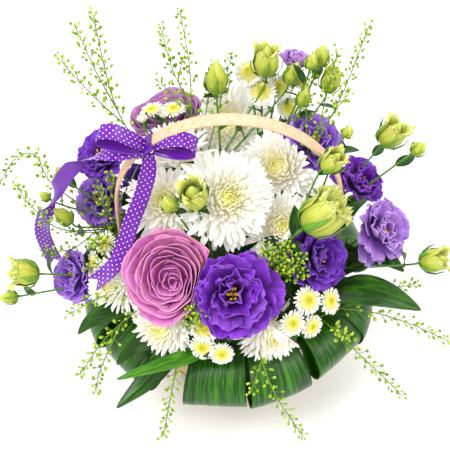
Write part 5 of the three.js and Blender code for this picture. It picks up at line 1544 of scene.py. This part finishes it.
POD_STEP = 2.7  # from one pod to the next along a stem
POD = 4.6  # the length of a ripe pod
for name, (main, sides) in SPRAYS.items():
    trunk, _ = even([place(at) for at in main[1:]], 70)
    routes = [(main[0], trunk)]
    for leaves, start, *places in sides:
        points = [trunk[int(leaves * 69)]] + [place(at) for at in places]
        if len(points) == 2:  # a stem given by one place bends up a little on its way
            low, high = points
            points.insert(1, (low + high) / 2 + 0.06 * np.linalg.norm(high - low) * heading(90, 90))
        routes.append((start, even(points, 40)[0]))
    stems, roots, outs, lengths, sizes = [], [], [], [], []
    for number, (start, route) in enumerate(routes):
        dense = start >= 0.5 or name.startswith("pod_cluster")
        thick = (0.95 if number == 0 else 0.75) * np.linspace(1.1, 0.45, len(route))
        stems.append(tubes(route[None], thick[None], sides=6))
        run = np.concatenate([[0], np.cumsum(np.linalg.norm(np.diff(route, axis=0), axis=1))])
        count = max(int((1 - start) * run[-1] / (POD_STEP * (0.4 if dense else 1))), 3)
        where = run[-1] * (start + (1 - start) * np.linspace(0, 1, count) ** 0.66)
        spot, way = (
            np.stack([np.interp(where, run, values[:, i]) for i in range(3)], axis=1)
            for values in (route, np.gradient(route, axis=0))
        )
        way = unit(way)
        base = unit(np.cross(way, [0.3, 0.2, 1.0]))
        spin = np.arange(count) * GOLDEN + number
        around = np.cos(spin)[:, None] * base + np.sin(spin)[:, None] * np.cross(way, base)
        ripe = np.linspace(1, 0.35, count)
        roots.append(spot)
        outs.append(unit(around + way * (0.55 + 0.9 * (1 - ripe))[:, None]))
        lengths.append((9.5 if dense else 7.5) * (0.45 + 0.55 * ripe) * rng.uniform(0.7, 1.2, count))
        sizes.append(POD * (0.55 + 0.45 * ripe) * rng.uniform(0.75, 1.12, count))
    root, out = np.vstack(roots), np.vstack(outs)
    length, size = np.concatenate(lengths), np.concatenate(sizes)
    n = len(root)
    t = np.linspace(0, 1, 5)[None, :, None]
    lift = np.array([0, 0, 0.18])
    stalks = root[:, None] + out[:, None] * t * length[:, None, None] + lift * (t**2) * length[:, None, None]
    end_way = unit(out + 2 * lift)
    facing = unit(np.cross(end_way, unit(rng.normal(0, 1, (n, 3)))))
    feet = stalks[:, -1] - 0.2 * end_way
    pods = blades(feet, end_way, facing, size, 0.95 * size, droop=0.0, along=7, fold=0.05)
    make(f"{name}_stems", together([*stems, tubes(stalks, 0.32, sides=4)]), wiry_stem, "pod_green", [name])
    make(f"{name}_pods", sheets(pods, 2.3, rim=0.15), pod_skin, "pod_green")

# ---- Pointed leaves -------------------------------------------------------------------------------
# Single leaves on short stalks that stand out between the loops: deep green and glossy, folded a
# little along the midrib, with long tips. One narrow paler leaf lies over the rim in front.
POINTED = {
    "pointed_leaves_right": [
        (40, (332, 20, 112), (330, 25, 150), (329, 26, 190), (328, 24, 232)),
        (30, (345, 20, 112), (349, 24, 140), (349, 24, 170), (346, 20, 190)),
        (26, (14, 22, 108), (16, 26, 132), (18, 27, 150), (19, 25, 172)),
    ],
    "pointed_leaves_left": [
        (24, (220, 17, 112), (217, 20, 140), (216, 19, 170), (217, 16, 190)),
        (20, (232, 15, 112), (233, 15, 140), (233, 16, 165), (233, 15, 184)),
        (24, (244, 16, 110), (244, 14, 140), (242, 10, 172), (238, 5, 203)),
    ],
    "pale_leaf_front": [(16, (262, 18, 108), (254, 19, 146), (245, 19, 178), (238, 17, 206))],
    "pointed_leaves_back": [
        (32, (112, 30, 116), (112, 36, 150), (113, 42, 190)),
        (30, (98, 28, 116), (93, 35, 150), (88, 42, 185)),
        (30, (126, 28, 116), (132, 34, 145), (140, 36, 180)),
    ],
}
SPRIG_ROOTS = {
    "pointed_leaves_right": (334, 20, 68), "pointed_leaves_left": (232, 14, 70),
    "pale_leaf_front": (262, 20, 72), "pointed_leaves_back": (112, 24, 70),
}
# Ruscus is glossy and deep green with ribs close together; the young leaf is softer and paler.
glossy_leaf = leaf_material("ruscus_leaf_glossy", "#082202", "#1a4604", "#3a720a", 12.0, 0.5, 0.3)
pale_leaf = leaf_material("young_leaf_pale_green", "#1d4c04", "#33720c", "#62a01e", 12.0, 0.5, 0.35)
for name, leaves in POINTED.items():
    start = cut_end(place(SPRIG_ROOTS[name]))
    first = place(leaves[0][1])
    fork = start + 0.72 * (first - start)
    bodies = [tubes(even([start, fork, fork + 0.1 * (first - fork)], 14)[0][None], 1.3, sides=8)]
    for breadth, *places in leaves:
        midrib, length = even([fork] + [place(at) for at in places], 46)
        s = np.linspace(0, 1, 46)
        bare = np.linalg.norm(place(places[0]) - fork) / length
        open_part = np.clip((s - bare) / (1 - bare), 0, 1)
        half = breadth / 2 * 1.04 * np.sin(np.pi * open_part**0.72) ** 0.8 + 0.8
        way = unit(np.gradient(midrib, axis=0))
        side = unit(np.cross(way, [0, 0, 1.0]))
        up = np.cross(side, way)
        u, wide = np.linspace(-1, 1, 13)[None], half[:, None]
        fold = 0.22 * np.abs(u) * wide + 0.5 * np.sin(13 * s + 1.5)[:, None] * u**2 * (wide > 3)
        lines = midrib[:, None] + side[:, None] * (u * wide)[..., None] + up[:, None] * fold[..., None]
        bodies.append(sheets(lines[None], 0.7, uv=uv_grid(13, 46, tall=length / 40), rim=0.7))
        rib = midrib - 0.25 * up
        bodies.append(tubes(rib[None, :44], np.linspace(1.1, 0.3, 44)[None], sides=6))
    finish = (pale_leaf, "leaf_pale_green") if name.startswith("pale") else (glossy_leaf, "leaf_deep_green")
    make(f"{name}_blades", together(bodies), *finish, [name])

# ---- Ribbon ---------------------------------------------------------------------------------------
# One length of violet single-faced satin, 16 mm wide and printed with white dots, tied in a bow round
# the hoop. It is pinched into pleats at the knot, its loops stand open, and its tails hang down in
# long turns and end in swallow tails.
RIBBON_WIDTH, RIBBON_THICK = 16.0, 0.35
BANDS = {
    "ribbon_left_tail": (
        [(-78, -8, 302), (-100, -12, 304), (-122, -13, 300), (-146, -12, 284), (-163, -10, 254),
         (-171, -8, 232), (-182, -5, 205), (-187, -3, 178), (-184, -2, 150), (-178, -2, 124)],
        [(0, 1, 1), (0, 1, 0.5), (0, 0.8, -0.8), (0.4, -0.3, -0.7), (0.51, -0.38, -0.31),
         (0, -0.7, 0.7), (-0.51, 0.28, 0.24), (-1, 0, 0), (-1, -0.1, 0), (-1, -0.2, 0)],
    ),
    "ribbon_right_tail": (
        [(-75, -8, 299), (-76, -17, 280), (-84, -29, 256), (-92, -40, 240), (-100, -51, 218),
         (-109, -62, 202), (-120, -70, 194), (-133, -77, 187)],
        [(-1, 0, 0), (-1, -0.1, 0), (-1, -0.2, 0), (-1, -0.2, -0.1), (-1, 0, -0.3),
         (-0.8, 0.2, 0.1), (-0.6, 0.5, 0.4), (-0.5, 0.6, 0.5)],
    ),
    "ribbon_right_loop": (
        [(-71, -6, 305), (-58, -10, 317), (-42, -13, 322), (-31, -14, 316), (-32, -14, 308),
         (-44, -12, 303), (-58, -9, 302), (-70, -6, 301)],
        [(-0.15, -1, -0.25)] * 8,
    ),
    "ribbon_left_loop": (
        [(-78, -6, 307), (-90, -12, 322), (-104, -15, 334), (-116, -16, 335), (-119, -15, 328),
         (-111, -13, 319), (-94, -10, 309), (-79, -6, 302)],
        [(0.25, 1, 0.3)] * 8,
    ),
}

# Satin: the face is painted in streaks from deep to bright violet along its threads, a painted sheen on top
# of the shader's own soft streaked shine, and white printed dots 1.2 mm wide on a staggered 6.2 mm grid. UVs
# are millimetres.
DOT_GRID = 6.2
satin, tree, shader = new_material(
    "ribbon_satin_dotted", Roughness=0.32, Specular_IOR_Level=0.5, Anisotropic=0.5, Sheen_Weight=0.08,
    Sheen_Roughness=0.3,
)
surface = add(tree, "UVMap", uv_map="surface")
under = add(tree, "Attribute", attribute_name="back")
threads_and_sheen = streaks(tree, surface.outputs[0], 6.0, 0.04, Scale=1.0, Detail=3.0)
# The lighter streaks along the threads are painted sheen.
face_tones = [(0.3, "#50047e"), (0.5, "#66079c"), (0.7, "#7e14bc")]
face_tone = add(tree, "ValToRGB", {"Fac": threads_and_sheen[0]}, ramp=face_tones)
far = []  # how far the nearest dot's middle is, in each of two grids
for shift in (0.0, DOT_GRID / 2):
    tiled = surface.outputs[0]
    for step, value in (
        ("ADD", (shift, shift, 0.0)), ("DIVIDE", (DOT_GRID, DOT_GRID, 1.0)), ("FRACTION", (0.0, 0.0, 0.0)),
        ("SUBTRACT", (0.5, 0.5, 0.0)), ("MULTIPLY", (DOT_GRID, DOT_GRID, 0.0)),
    ):
        tiled = add(tree, "VectorMath", {0: tiled, 1: value}, operation=step).outputs[0]
    far.append(add(tree, "VectorMath", {0: tiled}, operation="LENGTH").outputs["Value"])
nearest = add(tree, "Math", {0: far[0], 1: far[1]}, operation="MINIMUM")
dot = add(tree, "MapRange", {0: nearest.outputs[0], 1: 0.5, 2: 0.68, 3: 1.0, 4: 0.0})
on_face = add(tree, "Math", {0: 1.0, 1: under.outputs["Fac"]}, operation="SUBTRACT")
dots = add(tree, "Math", {0: dot.outputs[0], 1: on_face.outputs[0]}, operation="MULTIPLY")
backed = add(tree, "Mix", {0: under.outputs["Fac"], 6: face_tone.outputs[0], 7: "#5c0c92"}, **BLEND)
printed = add(tree, "Mix", {0: dots.outputs[0], 6: backed.outputs[2], 7: "#f7f2fb"}, **BLEND)
coloured(tree, shader, printed.outputs[2], threads_and_sheen[0], 0.25, 0.2)

PINCH = 9.0  # how far from the knot the ribbon is still drawn in
BAND_ROWS = 90
knot_at = hoop_spot(-74.0)
lean = unit(hoop_spot(-70.0) - hoop_spot(-78.0))
for name, (points, ways) in BANDS.items():
    is_loop = "loop" in name
    line, length = even(points, BAND_ROWS)
    way = catmull(ways, BAND_ROWS)
    along = unit(np.gradient(line, axis=0))
    side = unit(way - np.sum(way * along, axis=1, keepdims=True) * along)
    face = np.cross(side, along)
    s = np.linspace(0, 1, BAND_ROWS)[:, None]
    u = np.linspace(-1, 1, 17)[None]
    pinch = np.exp(-s * length / PINCH) + (np.exp(-(1 - s) * length / PINCH) if is_loop else 0)
    half = RIBBON_WIDTH / 2 * (1 - 0.45 * pinch)
    pleats = pinch * 1.5 * np.sin(u * 9) + 0.5 * np.sin(5 * s * length / 40) * (1 - u**2) * (1 - pinch)
    spots = line[:, None] + side[:, None] * (u * half)[..., None] + face[:, None] * pleats[..., None]
    if not is_loop:  # swallow tail
        cut = np.clip((s - 0.9) / 0.1, 0, 1) ** 2 * (1 - np.abs(u)) * 9
        spots = spots - along[:, None] * cut[..., None]
    uv = np.stack(np.meshgrid((u + 1) * RIBBON_WIDTH / 2, s * length), axis=-1)
    band = sheets(spots[None], RIBBON_THICK, own=0.3, uv=uv, rim=1.0)
    piece = make(name, band, satin, "satin", ["satin_ribbon"])

# The knot: the ribbon goes once round the hoop in soft pleats, and over the middle of the bow in front.
turns = np.linspace(0, 2 * np.pi, 61)[:, None]
hoop_up = -np.cross(lean, [0.0, 1.0, 0.0])
u = np.linspace(-1, 1, 15)[None]
half_y, half_n = HOOP_WIDTH / 2 + 1.6, HOOP_THICK / 2 + 1.6  # the hoop's half sizes and some slack
around_y = half_y * np.sign(np.cos(turns)) * np.abs(np.cos(turns)) ** 0.45
around_n = half_n * np.sign(np.sin(turns)) * np.abs(np.sin(turns)) ** 0.45
front = np.clip(-np.cos(turns), 0, 1) ** 2
crease = 0.45 * np.sin(u * 11) * (0.6 + 0.4 * np.sin(turns))
spots = (
    knot_at + lean * (u * (4.7 + 1.0 * front))[..., None]
    + np.array([0, 1.0, 0]) * (around_y - 3.4 * front)[..., None]
    + hoop_up * (around_n + crease * 0.5)[..., None]
)
spots[..., 1] += crease * -0.5 * front
girth = float(np.linalg.norm(np.diff(spots[:, 7], axis=0), axis=1).sum())
uv = np.stack(np.meshgrid((u + 1) * RIBBON_WIDTH / 2, np.linspace(0, girth, 61)), axis=-1)
wrap_body = sheets(spots[None, ::-1], RIBBON_THICK, own=0.3, uv=uv, rim=1.0)
knot = make("ribbon_knot", wrap_body, satin, "satin", ["satin_ribbon"])
